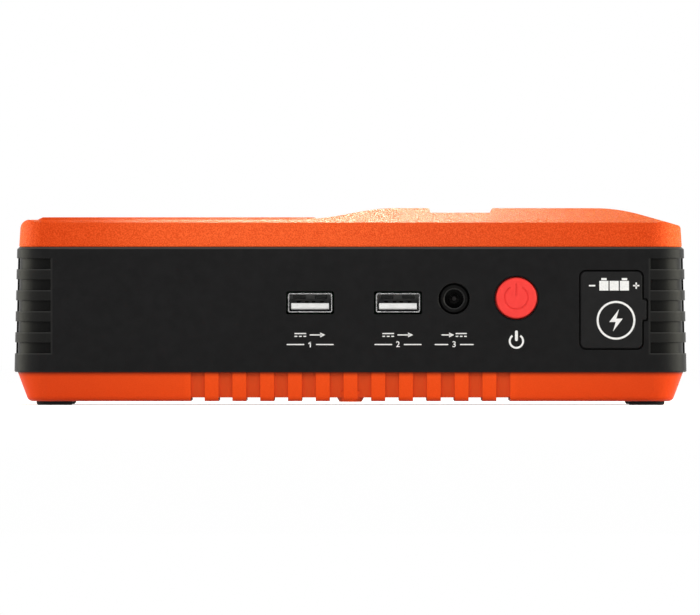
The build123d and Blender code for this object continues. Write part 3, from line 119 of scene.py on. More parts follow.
# %% [markdown]
# ## A small kit for procedural finishes
# Every finish here starts from Blender's Principled shader and adds three things that real
# surfaces have: a colour that isn't quite even, a roughness that isn't either, and a relief
# too fine to model. Each comes from a noise in Object coordinates, so the grain has a size in
# millimetres and stays on the piece when the piece moves. Moulded edges are never quite sharp:
# the Bevel node rounds the normals there, so that every lip and rib catches a thin line of light.


# %% Ranges of a noise, and how finely the soft edges are sampled
noise_core = (0.35, 0.65)
noise_span = (0.3, 0.7)
bevel_samples = 6
print("most of a noise lies in", noise_core, "and nearly all of it in", noise_span)


# %% Helpers that build a finish
def new_finish(name, colour, roughness, metallic=0.0, specular=0.5, edge_mm=0.0):
    """A Principled material, with edges that look rounded by edge_mm."""
    finish = bpy.data.materials.new(name)
    finish.use_nodes = True
    shader = finish.node_tree.nodes["Principled BSDF"]
    shader.inputs["Base Color"].default_value = colour
    shader.inputs["Roughness"].default_value = roughness
    shader.inputs["Metallic"].default_value = metallic
    shader.inputs["Specular IOR Level"].default_value = specular
    if edge_mm:
        edge = finish.node_tree.nodes.new("ShaderNodeBevel")
        edge.samples = bevel_samples
        edge.inputs["Radius"].default_value = edge_mm * MM
        finish.node_tree.links.new(edge.outputs["Normal"], shader.inputs["Normal"])
    return finish


def grain(finish, size_mm, detail=2.0, stretch=(1, 1, 1)):
    """A noise whose grains are about size_mm across, as an output socket."""
    tree = finish.node_tree
    place = tree.nodes.new("ShaderNodeTexCoord")
    mapping = tree.nodes.new("ShaderNodeMapping")
    mapping.inputs["Scale"].default_value = stretch
    noise = tree.nodes.new("ShaderNodeTexNoise")
    noise.inputs["Scale"].default_value = 1 / (size_mm * MM)
    noise.inputs["Detail"].default_value = detail
    tree.links.new(place.outputs["Object"], mapping.inputs["Vector"])
    tree.links.new(mapping.outputs["Vector"], noise.inputs["Vector"])
    return noise.outputs["Fac"]


def map_range(tree, source, old_range, new_range):
    """Maps a value from one range to another, and keeps it in there."""
    mapped = tree.nodes.new("ShaderNodeMapRange")
    mapped.inputs["From Min"].default_value = old_range[0]
    mapped.inputs["From Max"].default_value = old_range[1]
    mapped.inputs["To Min"].default_value = new_range[0]
    mapped.inputs["To Max"].default_value = new_range[1]
    tree.links.new(source, mapped.inputs["Value"])
    return mapped.outputs["Result"]


def calculate(tree, operation, *values):
    """One Math node, on output sockets or plain numbers."""
    node = tree.nodes.new("ShaderNodeMath")
    node.operation = operation
    for socket, value in zip(node.inputs, values):
        if isinstance(value, bpy.types.NodeSocket):
            tree.links.new(value, socket)
        else:
            socket.default_value = value
    return node.outputs["Value"]


def vary_colour(finish, source, dark, light):
    """The base colour runs from dark to light with the source."""
    tree = finish.node_tree
    ramp = tree.nodes.new("ShaderNodeValToRGB")
    for element, position, colour in zip(ramp.color_ramp.elements, noise_core, (dark, light)):
        element.position = position
        element.color = colour
    tree.links.new(source, ramp.inputs["Fac"])
    shader = tree.nodes["Principled BSDF"]
    tree.links.new(ramp.outputs["Color"], shader.inputs["Base Color"])


def vary_roughness(finish, source, low, high):
    """The roughness runs from low to high with the source."""
    tree = finish.node_tree
    roughness = map_range(tree, source, noise_span, (low, high))
    tree.links.new(roughness, tree.nodes["Principled BSDF"].inputs["Roughness"])


def relief(finish, source, height_mm):
    """A bump whose full height is height_mm, laid over any bump that is there already."""
    tree = finish.node_tree
    shader = tree.nodes["Principled BSDF"]
    bump = tree.nodes.new("ShaderNodeBump")
    bump.inputs["Distance"].default_value = height_mm * MM
    tree.links.new(source, bump.inputs["Height"])
    earlier = shader.inputs["Normal"].links
    if earlier:
        tree.links.new(earlier[0].from_socket, bump.inputs["Normal"])
    tree.links.new(bump.outputs["Normal"], shader.inputs["Normal"])


def above(tree, source, edge):
    """1 where the source is above an edge."""
    return calculate(tree, "GREATER_THAN", source, edge)


def below(tree, source, edge):
    """1 where the source is below an edge."""
    return calculate(tree, "LESS_THAN", source, edge)


def product(tree, sources):
    """All sources multiplied."""
    result = sources[0]
    for source in sources[1:]:
        result = calculate(tree, "MULTIPLY", result, source)
    return result


# %% Helpers that tint a part of a finish
def tint(finish, mask, colour, blend="MIX"):
    """Where the mask is 1, the base colour gives way to another one, or is multiplied by it."""
    tree = finish.node_tree
    shader = tree.nodes["Principled BSDF"]
    mix = tree.nodes.new("ShaderNodeMix")
    mix.data_type = "RGBA"
    mix.blend_type = blend
    tree.links.new(mask, mix.inputs["Factor"])
    tree.links.new(shader.inputs["Base Color"].links[0].from_socket, mix.inputs["A"])
    mix.inputs["B"].default_value = colour
    tree.links.new(mix.outputs["Result"], shader.inputs["Base Color"])


def place_parts(tree):
    """The X, Y and Z sockets of the Object coordinates."""
    place = tree.nodes.new("ShaderNodeTexCoord")
    split = tree.nodes.new("ShaderNodeSeparateXYZ")
    tree.links.new(place.outputs["Object"], split.inputs["Vector"])
    return split.outputs


def profile_along(tree, axis, low, high, stops):
    """A value along one axis of the Object coordinates, from (position, value) stops."""
    share = map_range(tree, place_parts(tree)[axis], (low, high), (0.0, 1.0))
    profile = tree.nodes.new("ShaderNodeValToRGB")
    elements = profile.color_ramp.elements
    while len(elements) < len(stops):
        elements.new(0.5)
    for element, (position, value) in zip(elements, stops):
        element.position = (position - low) / (high - low)
        element.color = (value, value, value, 1.0)
    tree.links.new(share, profile.inputs["Fac"])
    return profile.outputs["Color"]


def shade_along(finish, axis, low, high, stops, shade):
    """Painted shade: the colour deepens along one axis, by a profile of (position, share) stops."""
    mask = profile_along(finish.node_tree, axis, low, high, stops)
    tint(finish, mask, (*shade, 1.0), "MULTIPLY")


def ring_mask(tree, axis_point, inner, outer):
    """1 between two radii round an axis that runs along Y through a point."""
    place = tree.nodes.new("ShaderNodeTexCoord")
    from_axis = tree.nodes.new("ShaderNodeVectorMath")
    from_axis.operation = "SUBTRACT"
    from_axis.inputs[1].default_value = axis_point
    flat = tree.nodes.new("ShaderNodeVectorMath")
    flat.operation = "MULTIPLY"
    flat.inputs[1].default_value = (1, 0, 1)
    radius = tree.nodes.new("ShaderNodeVectorMath")
    radius.operation = "LENGTH"
    tree.links.new(place.outputs["Object"], from_axis.inputs[0])
    tree.links.new(from_axis.outputs["Vector"], flat.inputs[0])
    tree.links.new(flat.outputs["Vector"], radius.inputs[0])
    distance = radius.outputs["Value"]
    return product(tree, [above(tree, distance, inner), below(tree, distance, outer)])


# %% Helpers that measure and mark the meshes
def share_between(low, high, value):
    """0 below low, 1 above high, and even steps between them."""
    return min(max((value - low) / (high - low), 0), 1)


def depth_in_box(point, half_x, half_y, corner):
    """How deep a point lies inside an upright block with rounded corners."""
    past_x = abs(point.x) - (half_x - corner)
    past_y = abs(point.y) - (half_y - corner)
    outside = Vector((max(past_x, 0), max(past_y, 0))).length
    return corner - outside - min(max(past_x, past_y), 0)


def centre_of(name):
    """Centre of a CAD node's box."""
    low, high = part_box(name)
    return (Vector(low) + Vector(high)) / 2


def store(piece, name, values):
    """Keeps one number per vertex on a piece's mesh, for its finish to read."""
    attribute = piece.data.attributes.new(name, "FLOAT", "POINT")
    attribute.data.foreach_set("value", values)


def stored(tree, name):
    """The number that is kept on the mesh, as an output socket."""
    reader = tree.nodes.new("ShaderNodeAttribute")
    reader.attribute_name = name
    return reader.outputs["Fac"]


def dress(finish, *names):
    """Puts a finish on CAD nodes by their names."""
    for name in names:
        piece = nodes[name]
        piece.data.materials.clear()
        piece.data.materials.append(finish)
    print(finish.name, "on", ", ".join(names))


# %% [markdown]
# ## The orange mouldings
# Both orange shells are moulded ABS. The cover's mould was spark-eroded, which leaves a coarse,
# sparkling grain that shows best where light rakes over the hump. The tray came from a finely
# blasted mould, so it is smoother and looks a little deeper in colour. Two sizes of grain make
# the relief of the cover, and a faint speckle in its colour stands for light caught in it. The
# coarse grain also glints where it's seen edge-on, which the shader's sheen does. The glint and
# the gloss are strongest on the hump and fade along the shelf towards its left end.


# %% Cover and tray
def orange_shell(name, dark, light, grain_mm, grain_height_mm, roughness, specular):
    """Orange moulded plastic with a grain of its own size and height."""
    finish = new_finish(name, light, roughness[0], specular=specular, edge_mm=0.2)
    vary_colour(finish, grain(finish, grain_mm * 1.2, detail=1.0), dark, light)
    vary_roughness(finish, grain(finish, grain_mm * 1.1, 1.0, (1, 0.6, 1)), *roughness)
    relief(finish, grain(finish, grain_mm, 2.0, (1, 0.6, 1)), grain_height_mm)
    return finish


cover_specular = 0.06
cover_orange = orange_shell(
    "cover_orange",
    dark=screen(230, 80, 30),
    light=screen(255, 106, 50),
    grain_mm=0.3,
    grain_height_mm=0.24,
    roughness=(0.26, 0.6),
    specular=cover_specular,
)
tray_orange = orange_shell(
    "tray_orange",
    dark=screen(251, 83, 22),
    light=screen(255, 88, 27),
    grain_mm=0.25,
    grain_height_mm=0.02,
    roughness=(0.4, 0.48),
    specular=0.1,
)
dress(cover_orange, "upper_case")
dress(tray_orange, "lower_case")

# %% Glint and gloss along the cover
profile_start = -100 * MM
profile_end = 100 * MM
glint_grain_mm = 0.42
glint_range = (0.05, 0.6)

glint_stops = (
    (-96 * MM, 1.0),
    (-92 * MM, 0.1),
    (-75 * MM, 0.25),
    (-55 * MM, 0.75),
    (-35 * MM, 1.0),
    (60 * MM, 1.0),
    (88 * MM, 0.9),
    (96 * MM, 1.0),
)
gloss_stops = (
    (-96 * MM, 1.0),
    (-92 * MM, 0.0),
    (-75 * MM, 0.06),
    (-55 * MM, 0.55),
    (-35 * MM, 1.0),
    (35 * MM, 1.0),
    (50 * MM, 0.6),
    (88 * MM, 0.2),
    (96 * MM, 1.0),
)
cover_tree = cover_orange.node_tree
cover_shader = cover_tree.nodes["Principled BSDF"]
cover_shader.inputs["Sheen Roughness"].default_value = 0.4
cover_shader.inputs["Sheen Tint"].default_value = screen(255, 198, 92)
glint = map_range(cover_tree, grain(cover_orange, glint_grain_mm, 1.0), noise_core, glint_range)
glint_part = profile_along(cover_tree, "X", profile_start, profile_end, glint_stops)
glint_weight = product(cover_tree, [glint, glint_part])
cover_tree.links.new(glint_weight, cover_shader.inputs["Sheen Weight"])
gloss_part = profile_along(cover_tree, "X", profile_start, profile_end, gloss_stops)
gloss = map_range(cover_tree, gloss_part, (0.0, 1.0), (0.0, cover_specular))
cover_tree.links.new(gloss, cover_shader.inputs["Specular IOR Level"])
print("sheen", glint_range, "and specular level up to", cover_specular)

# %% Painted shade in the tray's slots
tray_draft_angle = 20.5
tray_corner = 9.0 * MM
boss_drop = 0.2 * MM
slot_depths = (0.3 * MM, 0.9 * MM)
slot_foot = 0.5 * MM

tray_low, tray_high = (Vector(corner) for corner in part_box("lower_case"))
tray_foot = tray_low.z + boss_drop
tray_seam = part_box("middle_frame")[0][2]
tray_draft = math.tan(math.radians(tray_draft_angle))
tray = nodes["lower_case"]
slot_shade_shares = []
for vertex in tray.data.vertices:
    shrink = (tray_seam - vertex.co.z) * tray_draft
    halves = (tray_high.x - shrink, tray_high.y - shrink)
    depth = depth_in_box(vertex.co, *halves, tray_corner)
    share = share_between(*slot_depths, depth)
    slot_shade_shares.append(share if vertex.co.z > tray_foot + slot_foot else 0)
store(tray, "slot", slot_shade_shares)
# The slots are tinted darker than the teeth: painted shade in the recesses.
tint(tray_orange, stored(tray_orange.node_tree, "slot"), screen(230, 83, 34))
print("tray vertices in slots", sum(1 for share in slot_shade_shares if share > 0.5))

# %% [markdown]
# These shades are painted light and shade, not tones of the plastic. The cover is palest left of
# its middle and darkens towards its ends with painted shade, which stops just short of the
# corners so that their highlights stay bright. The tray is palest along its slots and darkens
# towards its ends with painted shade. It also has painted shade at its two long edges: the upper
# one lies in the shade of the band, and the lower one turns towards the floor.

# %% Painted shade along the shells
# Painted shade along the cover, darkest where the share is 1; it stops short of the corners so
# their highlights stay bright.
cover_shade_stops = (
    (-97.5 * MM, 0.0),
    (-95 * MM, 0.5),
    (-92 * MM, 1.0),
    (-79 * MM, 0.8),
    (-65 * MM, 0.35),
    (-50 * MM, 0.05),
    (-30 * MM, 0.0),
    (0 * MM, 0.2),
    (24 * MM, 0.6),
    (60 * MM, 0.8),
    (90 * MM, 1.0),
    (93 * MM, 0.5),
    (95 * MM, 0.0),
)
shade_along(cover_orange, "X", profile_start, profile_end, cover_shade_stops, (0.8, 0.6, 0.5))
# Painted shade towards the tray's ends; the slots between stay palest.
tray_shade_stops = (
    (-88 * MM, 1.0),
    (-70 * MM, 0.62),
    (-50 * MM, 0.3),
    (-48 * MM, 0.0),
    (48 * MM, 0.0),
    (50 * MM, 0.3),
    (70 * MM, 0.62),
    (88 * MM, 1.0),
)
shade_along(tray_orange, "X", profile_start, profile_end, tray_shade_stops, (0.77, 0.66, 0.62))
# Painted shade along the tray's long edges: the band's shadow on the upper one, and shade where the
# lower one turns to the floor.
edge_shade_stops = (
    (tray_foot, 0.3),
    (tray_foot + 1.6 * MM, 0.0),
    (tray_seam - 1.4 * MM, 0.0),
    (tray_seam - 0.6 * MM, 0.35),
    (tray_seam, 1.0),
)
shade_along(tray_orange, "Z", tray_foot, tray_seam, edge_shade_stops, (0.2, 0.18, 0.2))
print("shades along the cover", len(cover_shade_stops), "and along the tray", len(tray_shade_stops))

# %% [markdown]
# ## The black band
# The band is a glass-filled black plastic: nearly even, with a silky finish. Black plastic shows
# almost nothing but its reflection, so the fine relief and the changing roughness matter more
# than its colour. The ribs at the corners are painted a little greyer, a painted highlight for
# the light they catch, while grooves and recesses are painted deep black, a painted shade. How
# far a point lies below the outer form is known exactly, because the form is a rounded box with
# leaning ends, so that depth is stored on the mesh.


# %% Band and the rubber flap
def black_moulding(name, dark, light, grain_mm, height_mm, roughness, specular):
    """Black plastic or rubber with a fine grain, and broad patches of other roughness."""
    finish = new_finish(name, dark, roughness[0], specular=specular, edge_mm=0.25)
    vary_colour(finish, grain(finish, 3.0, detail=4.0), dark, light)
    vary_roughness(finish, grain(finish, 14.0), *roughness)
    relief(finish, grain(finish, grain_mm, detail=3.0), height_mm)
    return finish


band_black = black_moulding(
    "band_black", screen(22, 22, 23), screen(25, 25, 26), 0.25, 0.02, (0.34, 0.42), 0.09
)
flap_black = black_moulding(
    "flap_black", screen(23, 23, 24), screen(26, 26, 27), 0.18, 0.015, (0.4, 0.48), 0.14
)
foot_black = black_moulding(
    "foot_black", screen(18, 18, 18), screen(24, 24, 24), 0.4, 0.03, (0.7, 0.8), 0.2
)
dress(band_black, "middle_frame")

# %% Depth below the band's outer form
band_corner = 10.0 * MM
end_lean = 0.8 * MM
recess_depths = (0.1 * MM, 0.6 * MM)

band_low, band_high = (Vector(corner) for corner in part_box("middle_frame"))
band = nodes["middle_frame"]
recess_shares = []
for vertex in band.data.vertices:
    rise = (vertex.co.z - band_low.z) / (band_high.z - band_low.z)
    half_x = band_high.x - end_lean * rise
    depth = depth_in_box(vertex.co, half_x, band_high.y, band_corner)
    recess_shares.append(share_between(*recess_depths, depth))
store(band, "recess", recess_shares)
print("band vertices in recesses", sum(1 for share in recess_shares if share > 0.5))

# %% Painted highlights on the ribs and painted shade in the recesses
rib_start_x = 89.1 * MM
rib_start_y = 36.0 * MM
rib_low = 15.38 * MM
rib_high = 43.64 * MM
rib_pitch = 6.256 * MM
lip = 0.35 * MM

band_tree = band_black.node_tree
along_x, along_y, along_z = place_parts(band_tree)
side_x = calculate(band_tree, "ABSOLUTE", along_x)
side_y = calculate(band_tree, "ABSOLUTE", along_y)
corners = product(
    band_tree,
    [
        above(band_tree, side_y, rib_start_y),
        above(band_tree, along_z, rib_low - lip),
        below(band_tree, along_z, rib_high),
    ],
)
past_start = above(band_tree, side_x, rib_start_x)
# Painted highlight: the ribs past the groove ends are a little greyer.
tint(band_black, product(band_tree, [corners, past_start]), screen(26, 26, 26))

# Painted highlights make the upper lip of each rib, and a thin strip beside the groove ends, greyer
# still.
lip_rise = calculate(band_tree, "SUBTRACT", along_z, rib_low - lip)
in_pitch = calculate(band_tree, "FLOORED_MODULO", lip_rise, rib_pitch)
lip_highlight_mask = below(band_tree, in_pitch, lip)
tint(band_black, product(band_tree, [corners, past_start, lip_highlight_mask]), screen(46, 46, 46))
beside = above(band_tree, side_x, rib_start_x - 1.5 * lip)
before = below(band_tree, side_x, rib_start_x)
tint(band_black, product(band_tree, [corners, beside, before]), screen(36, 36, 36))
# Painted shade: the recesses are tinted near black.
tint(band_black, stored(band_tree, "recess"), screen(12, 12, 12))

# A painted highlight makes the rim that meets the cover bright as well.
rim_low = 46.45 * MM
tint(band_black, above(band_tree, along_z, rim_low), screen(58, 55, 53))
print("ribs, recesses and rim tinted")

# %% Painted rings round the button and the jack
# Painted shadow darkens the gap round the button, and a painted highlight lights the edge of the
# jack's recess.
gap_radii = (6.1 * MM, 6.75 * MM)
jack_radii = (4.5 * MM, 4.75 * MM)

in_front = below(band_tree, along_y, -rib_start_y)
button_gap_shade = ring_mask(band_tree, centre_of("power_button"), *gap_radii)
tint(band_black, product(band_tree, [button_gap_shade, in_front]), screen(3, 3, 3))
jack_edge_highlight = ring_mask(band_tree, centre_of("input_jack_body"), *jack_radii)
tint(band_black, product(band_tree, [jack_edge_highlight, in_front]), screen(36, 36, 36))
print("rings tinted")

# %% Rubber parts
dress(flap_black, "port_cover", "port_cover_anchor")
dress(foot_black, "foot_front_left", "foot_front_right", "foot_rear_left", "foot_rear_right")

# %% [markdown]
# ## Sockets
# A charging socket is a folded shell of nickel-plated steel round a white moulded tongue, with
# four gold-flashed contacts on it. The tongue's root and its contact pockets, deep in the shell,
# are painted dark: painted shade. Rolled sheet has fine lines along the way it was rolled, made
# here by stretching the noise. The input jack is glossy black plastic round a nickel pin, whose
# nickel is painted dark: painted shade in the bore.


# %% Metal parts
def rolled_metal(name, dark, light, roughness, lines=(1, 0.08, 1)):
    """Plated or rolled sheet metal with faint lines along Y."""
    finish = new_finish(name, light, roughness[0], metallic=1.0, edge_mm=0.08)
    vary_colour(finish, grain(finish, 1.5, detail=4.0), dark, light)
    vary_roughness(finish, grain(finish, 0.3, detail=3.0, stretch=lines), *roughness)
    return finish


shell_nickel = rolled_metal(
    "shell_nickel", screen(150, 150, 152), screen(205, 205, 206), (0.2, 0.38)
)
# The pin and its spring sit deep in the jack, so their nickel is painted dark: painted shade.
pin_nickel = rolled_metal("pin_nickel", screen(38, 37, 37), screen(48, 47, 47), (0.3, 0.4))
screw_zinc = rolled_metal("screw_zinc", screen(150, 150, 148), screen(190, 190, 188), (0.3, 0.45))
tab_nickel = rolled_metal("tab_nickel", screen(165, 162, 155), screen(196, 193, 186), (0.3, 0.45))
contact_gold = rolled_metal(
    "contact_gold", screen(190, 150, 70), screen(228, 188, 105), (0.2, 0.32)
)
dress(shell_nickel, "charge_port_shell_1", "charge_port_shell_2")
dress(pin_nickel, "input_jack_pin", "input_jack_spring")
screw_groups = ("case_screws", "board_screws", "starter_screws", "torch_screws", "level_screws")
dress(screw_zinc, *screw_groups)
dress(tab_nickel, "cell_tabs_1", "cell_tabs_2", "cell_tabs_3")
dress(
    contact_gold,
    "charge_port_contacts_1",
    "charge_port_contacts_2",
    "starter_contact_positive",
    "starter_contact_negative",
)


# %% Plain moulded plastics
def moulded(name, dark, light, roughness, specular=0.5, grain_mm=0.4, height_mm=0.008):
    """A small moulded part: nearly even colour and a slight grain."""
    finish = new_finish(name, light, roughness[0], specular=specular, edge_mm=0.12)
    vary_colour(finish, grain(finish, 2.5, detail=3.0), dark, light)
    vary_roughness(finish, grain(finish, 4.0), *roughness)
    relief(finish, grain(finish, grain_mm), height_mm)
    return finish


tongue_white = moulded("tongue_white", screen(226, 226, 226), screen(240, 240, 240), (0.3, 0.4))
jack_black = moulded("jack_black", screen(5, 5, 5), screen(8, 8, 8), (0.3, 0.4), 0.12)
switch_black = moulded("switch_black", screen(24, 24, 24), screen(32, 32, 32), (0.4, 0.5))
starter_blue = moulded("starter_blue", screen(22, 66, 150), screen(30, 80, 172), (0.3, 0.4))
button_red = moulded(
    "button_red", screen(242, 56, 50), screen(244, 59, 53), (0.45, 0.5), 0.3, 0.2, 0.01
)
dress(switch_black, "switch_body", "switch_plunger")
dress(starter_blue, "starter_socket_body")

# %% Painted shade on the root and pockets of the tongues
root_length = 3.65 * MM
pocket_length = 3.5 * MM

tongue_back_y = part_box("charge_port_tongue_1")[1][1]
tongue_tree = tongue_white.node_tree
tongue_y = place_parts(tongue_tree)["Y"]
# Painted shade: the root deep in the shell is grey and its pockets are near black.
root_shade_mask = above(tongue_tree, tongue_y, tongue_back_y - root_length)
tint(tongue_white, root_shade_mask, screen(96, 96, 98))
pocket_shade_mask = above(tongue_tree, tongue_y, tongue_back_y - pocket_length)
tint(tongue_white, pocket_shade_mask, screen(6, 6, 6))
dress(tongue_white, "charge_port_tongue_1", "charge_port_tongue_2")

# %% Painted highlight on the rim of the jack's bore
rim_radii = (2.75 * MM, 3.15 * MM)

jack_rim_highlight = ring_mask(jack_black.node_tree, centre_of("input_jack_body"), *rim_radii)
tint(jack_black, jack_rim_highlight, screen(54, 54, 54))
dress(jack_black, "input_jack_body")

# %% [markdown]
# ## Inside the case
# Nobody sees the inside of a closed pack, but it opens on the bench, so the boards, cells, pads
# and leads get their own finishes too: green solder mask over copper, foil with a slight crinkle,
# grey foam with open pores and silicone lead.

# %% Boards and what they carry
board_green = moulded("board_green", screen(18, 84, 48), screen(30, 108, 62), (0.3, 0.45))
chip_black = moulded("chip_black", screen(28, 28, 30), screen(38, 38, 40), (0.5, 0.6))
ferrite_grey = moulded(
    "ferrite_grey", screen(58, 58, 60), screen(76, 76, 78), (0.6, 0.7), height_mm=0.03
)
capacitor_sleeve = rolled_metal(
    "capacitor_sleeve", screen(150, 152, 158), screen(192, 194, 198), (0.25, 0.4)
)
emitter_yellow = moulded("emitter_yellow", screen(236, 206, 92), screen(246, 222, 120), (0.3, 0.4))
dress(board_green, "main_board", "protection_board", "torch_board", "level_board")
dress(chip_black, "board_chips", "protection_chips")
dress(ferrite_grey, "board_inductor")
dress(capacitor_sleeve, "board_capacitors")
dress(emitter_yellow, "torch_emitter", "level_emitters")

# %% Cells, pads and leads
cell_foil = rolled_metal("cell_foil", screen(170, 172, 176), screen(206, 208, 210), (0.3, 0.5))
relief(cell_foil, grain(cell_foil, 6.0, detail=4.0), 0.12)
pad_foam = moulded("pad_foam", screen(70, 70, 72), screen(96, 96, 98), (0.85, 0.95), 0.2, 0.5, 0.15)
lead_red = moulded("lead_red", screen(176, 24, 18), screen(196, 32, 24), (0.45, 0.55))
lead_black = moulded("lead_black", screen(28, 28, 28), screen(38, 38, 38), (0.45, 0.55))
dress(cell_foil, "cell_1", "cell_2", "cell_3")
dress(pad_foam, "cell_pad_1", "cell_pad_2", "cell_pad_3", "cell_pad_4")
dress(lead_red, "positive_lead")
dress(lead_black, "negative_lead")

# %% [markdown]
# ## Torch and charge lights
# The torch in the left end has a clear window over a plated reflector. Clear plastic is a
# Principled shader with full transmission and its own index of refraction. The light pipes in
# the top channel are milky instead, so that they glow evenly when lit and look white when not.


# %% Clear plastics and the plated bowl
acrylic_ior = 1.49


def clear_plastic(name, colour, roughness):
    """Transparent moulded plastic, polished or frosted."""
    finish = new_finish(name, colour, roughness)
    shader = finish.node_tree.nodes["Principled BSDF"]
    shader.inputs["Transmission Weight"].default_value = 1.0
    shader.inputs["IOR"].default_value = acrylic_ior
    relief(finish, grain(finish, 1.2), 0.004)
    return finish


lens_clear = clear_plastic("lens_clear", screen(244, 248, 250), 0.03)
pipe_milky = moulded("pipe_milky", screen(206, 212, 216), screen(222, 228, 232), (0.25, 0.35))
bowl_plated = rolled_metal(
    "bowl_plated", screen(205, 205, 208), screen(225, 225, 228), (0.06, 0.12)
)
dress(lens_clear, "torch_lens")
dress(pipe_milky, *[f"level_light_{number}" for number in (1, 2, 3, 4)])
dress(bowl_plated, "torch_reflector")

# %% [markdown]
# ## Marks on the panel
# The marks are pad printed: a film of white ink a few hundredths of a millimetre thick. Each is
# modelled flat, as a thin solid in the XY plane, and then stood up on the panel. A helper turns
# the finished bmesh by 90 degrees about X, moves it to its place and makes the object, so that
# the object itself stays at the origin.

# %% Ink, and the helpers that make and place a piece
ink_height = 0.03 * MM
ink_sink = 0.02 * MM
ink = ink_height + ink_sink

print_white = new_finish("print_white", screen(236, 236, 236), 0.5)
vary_colour(print_white, grain(print_white, 0.5), screen(228, 228, 228), screen(242, 242, 242))
relief(print_white, grain(print_white, 0.2), 0.004)


def new_object(shape, name):
    """Closes a bmesh into an object at the origin."""
    mesh = bpy.data.meshes.new(name)
    shape.to_mesh(mesh)
    shape.free()
    made = bpy.data.objects.new(name, mesh)
    bpy.context.scene.collection.objects.link(made)
    return made


def finish_piece(shape, name, finish, body):
    """Closes a bmesh into a piece with a finish, a body and a material slot."""
    bmesh.ops.recalc_face_normals(shape, faces=shape.faces[:])
    piece = new_object(shape, name)
    piece.data.materials.append(finish)
    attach(piece, body)
    print(name, "faces", len(piece.data.polygons))
    return piece


def stand_up(shape, x, y, z):
    """Stands a flat bmesh up, facing the viewer, with its origin at x, y, z."""
    upright = Matrix.Rotation(math.radians(90), 3, "X")
    bmesh.ops.rotate(shape, cent=(0, 0, 0), matrix=upright, verts=shape.verts[:])
    bmesh.ops.translate(shape, vec=(x, y, z), verts=shape.verts[:])


# %% [markdown]
# The strokes of every mark are of three kinds: a bar with round ends, a ring or an arc, and a
# closed outline such as an arrow head. A bar is a beveled box, an arc is a small rectangle spun
# about Z, and an outline is one face extruded. Lengths are in millimetres until the mark is done.


# %% Strokes
end_share = 0.49
end_segments = 6
arc_segments = 48


def add_bar(shape, start, end, width, depth):
    """A bar with round ends between two points of the XY plane."""
    start = Vector(start)
    end = Vector(end)
    run = end - start
    made = bmesh.ops.create_cube(shape, size=1.0)["verts"]
    bmesh.ops.scale(shape, vec=(run.length + width, width, depth), verts=made)
    uprights = {edge for vert in made for edge in vert.link_edges}
    uprights = [
        edge for edge in uprights if abs((edge.verts[0].co - edge.verts[1].co).z) > depth / 2
    ]
    rounded = bmesh.ops.bevel(
        shape,
        geom=uprights,
        offset=width * end_share,
        segments=end_segments,
        profile=0.5,
        affect="EDGES",
        material=-1,
    )
    bar = {vert for face in rounded["faces"] for vert in face.verts}
    bar |= {vert for vert in made if vert.is_valid}
    turn = Matrix.Rotation(math.atan2(run.y, run.x), 3, "Z")
    bmesh.ops.rotate(shape, cent=(0, 0, 0), matrix=turn, verts=list(bar))
    middle = (start + end) / 2
    bmesh.ops.translate(shape, vec=(middle.x, middle.y, depth / 2), verts=list(bar))


def add_arc(shape, centre, radius, width, depth, start_angle, sweep, steps):
    """An arc of a ring, or a whole ring when the sweep is a full turn."""
    direction = Vector((math.cos(start_angle), math.sin(start_angle), 0))
    section = []
    for reach, height in ((-0.5, 0), (0.5, 0), (0.5, 1), (-0.5, 1)):
        point = direction * (radius + reach * width) + Vector((0, 0, height * depth))
        section.append(shape.verts.new(point + Vector((centre[0], centre[1], 0))))
    whole = math.isclose(sweep, 2 * math.pi)
    if whole:
        edges = [shape.edges.new((section[i], section[(i + 1) % 4])) for i in range(4)]
        profile = section + edges
    else:
        profile = [shape.faces.new(section)]
    bmesh.ops.spin(
        shape,
        geom=profile,
        cent=(centre[0], centre[1], 0),
        axis=(0, 0, 1),
        angle=sweep,
        steps=steps,
        use_merge=whole,
    )


def add_outline(shape, points, depth):
    """A closed outline extruded to a thin solid."""
    corners = [shape.verts.new((x, y, 0)) for x, y in points]
    face = shape.faces.new(corners)
    raised = bmesh.ops.extrude_face_region(shape, geom=[face])["geom"]
    top = [item for item in raised if isinstance(item, bmesh.types.BMVert)]
    bmesh.ops.translate(shape, vec=(0, 0, depth), verts=top)


def add_power_symbol(shape, radius, width, bar_width, bar_low, bar_high, gap_angle, depth):
    """The standard power symbol: an open ring and a bar that stands in its gap."""
    gap = math.radians(gap_angle)
    start = math.pi / 2 + gap / 2
    add_arc(shape, (0, 0), radius, width, depth, start, 2 * math.pi - gap, arc_segments)
    add_bar(shape, (0, bar_low), (0, bar_high), bar_width, depth)


# %% [markdown]
# The panel's marks are worked out from the pieces that they stand under, so each takes its place
# from the box of that piece: the centre of the button, of a socket shell or of the jack.


# %% Places on the panel
panel_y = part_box("middle_frame")[0][1]
button_centre = centre_of("power_button")
button_mm = [round(value / MM, 1) for value in button_centre]
print("panel at y", round(panel_y / MM, 2), "button at", button_mm)


def print_mark(shape, name, x, z, face_y, body):
    """Scales a mark from millimetres, stands it on a face and inks it."""
    bmesh.ops.scale(shape, vec=(MM, MM, 1), verts=shape.verts[:])
    stand_up(shape, x, face_y + ink_sink, z)
    finish_piece(shape, name, print_white, body)


# %% Power symbol under the button
symbol_drop = 12.8 * MM

symbol = bmesh.new()
add_power_symbol(
    symbol,
    radius=1.98,
    width=0.57,
    bar_width=0.86,
    bar_low=0.45,
    bar_high=2.74,
    gap_angle=72,
    depth=ink,
)
print_mark(symbol, "power_mark", button_centre.x, button_centre.z - symbol_drop, panel_y, "root")

# %% [markdown]
# ## The button
# The power symbol is pressed into the red silicone cap, about a third of a millimetre deep.
# A groove that is really cut catches the light along one side and shades the other, which ink
# or bump can't do as well. A copy of the button is merged, cut by the same symbol as a solid with
# a Boolean modifier, and stands for the plain one.

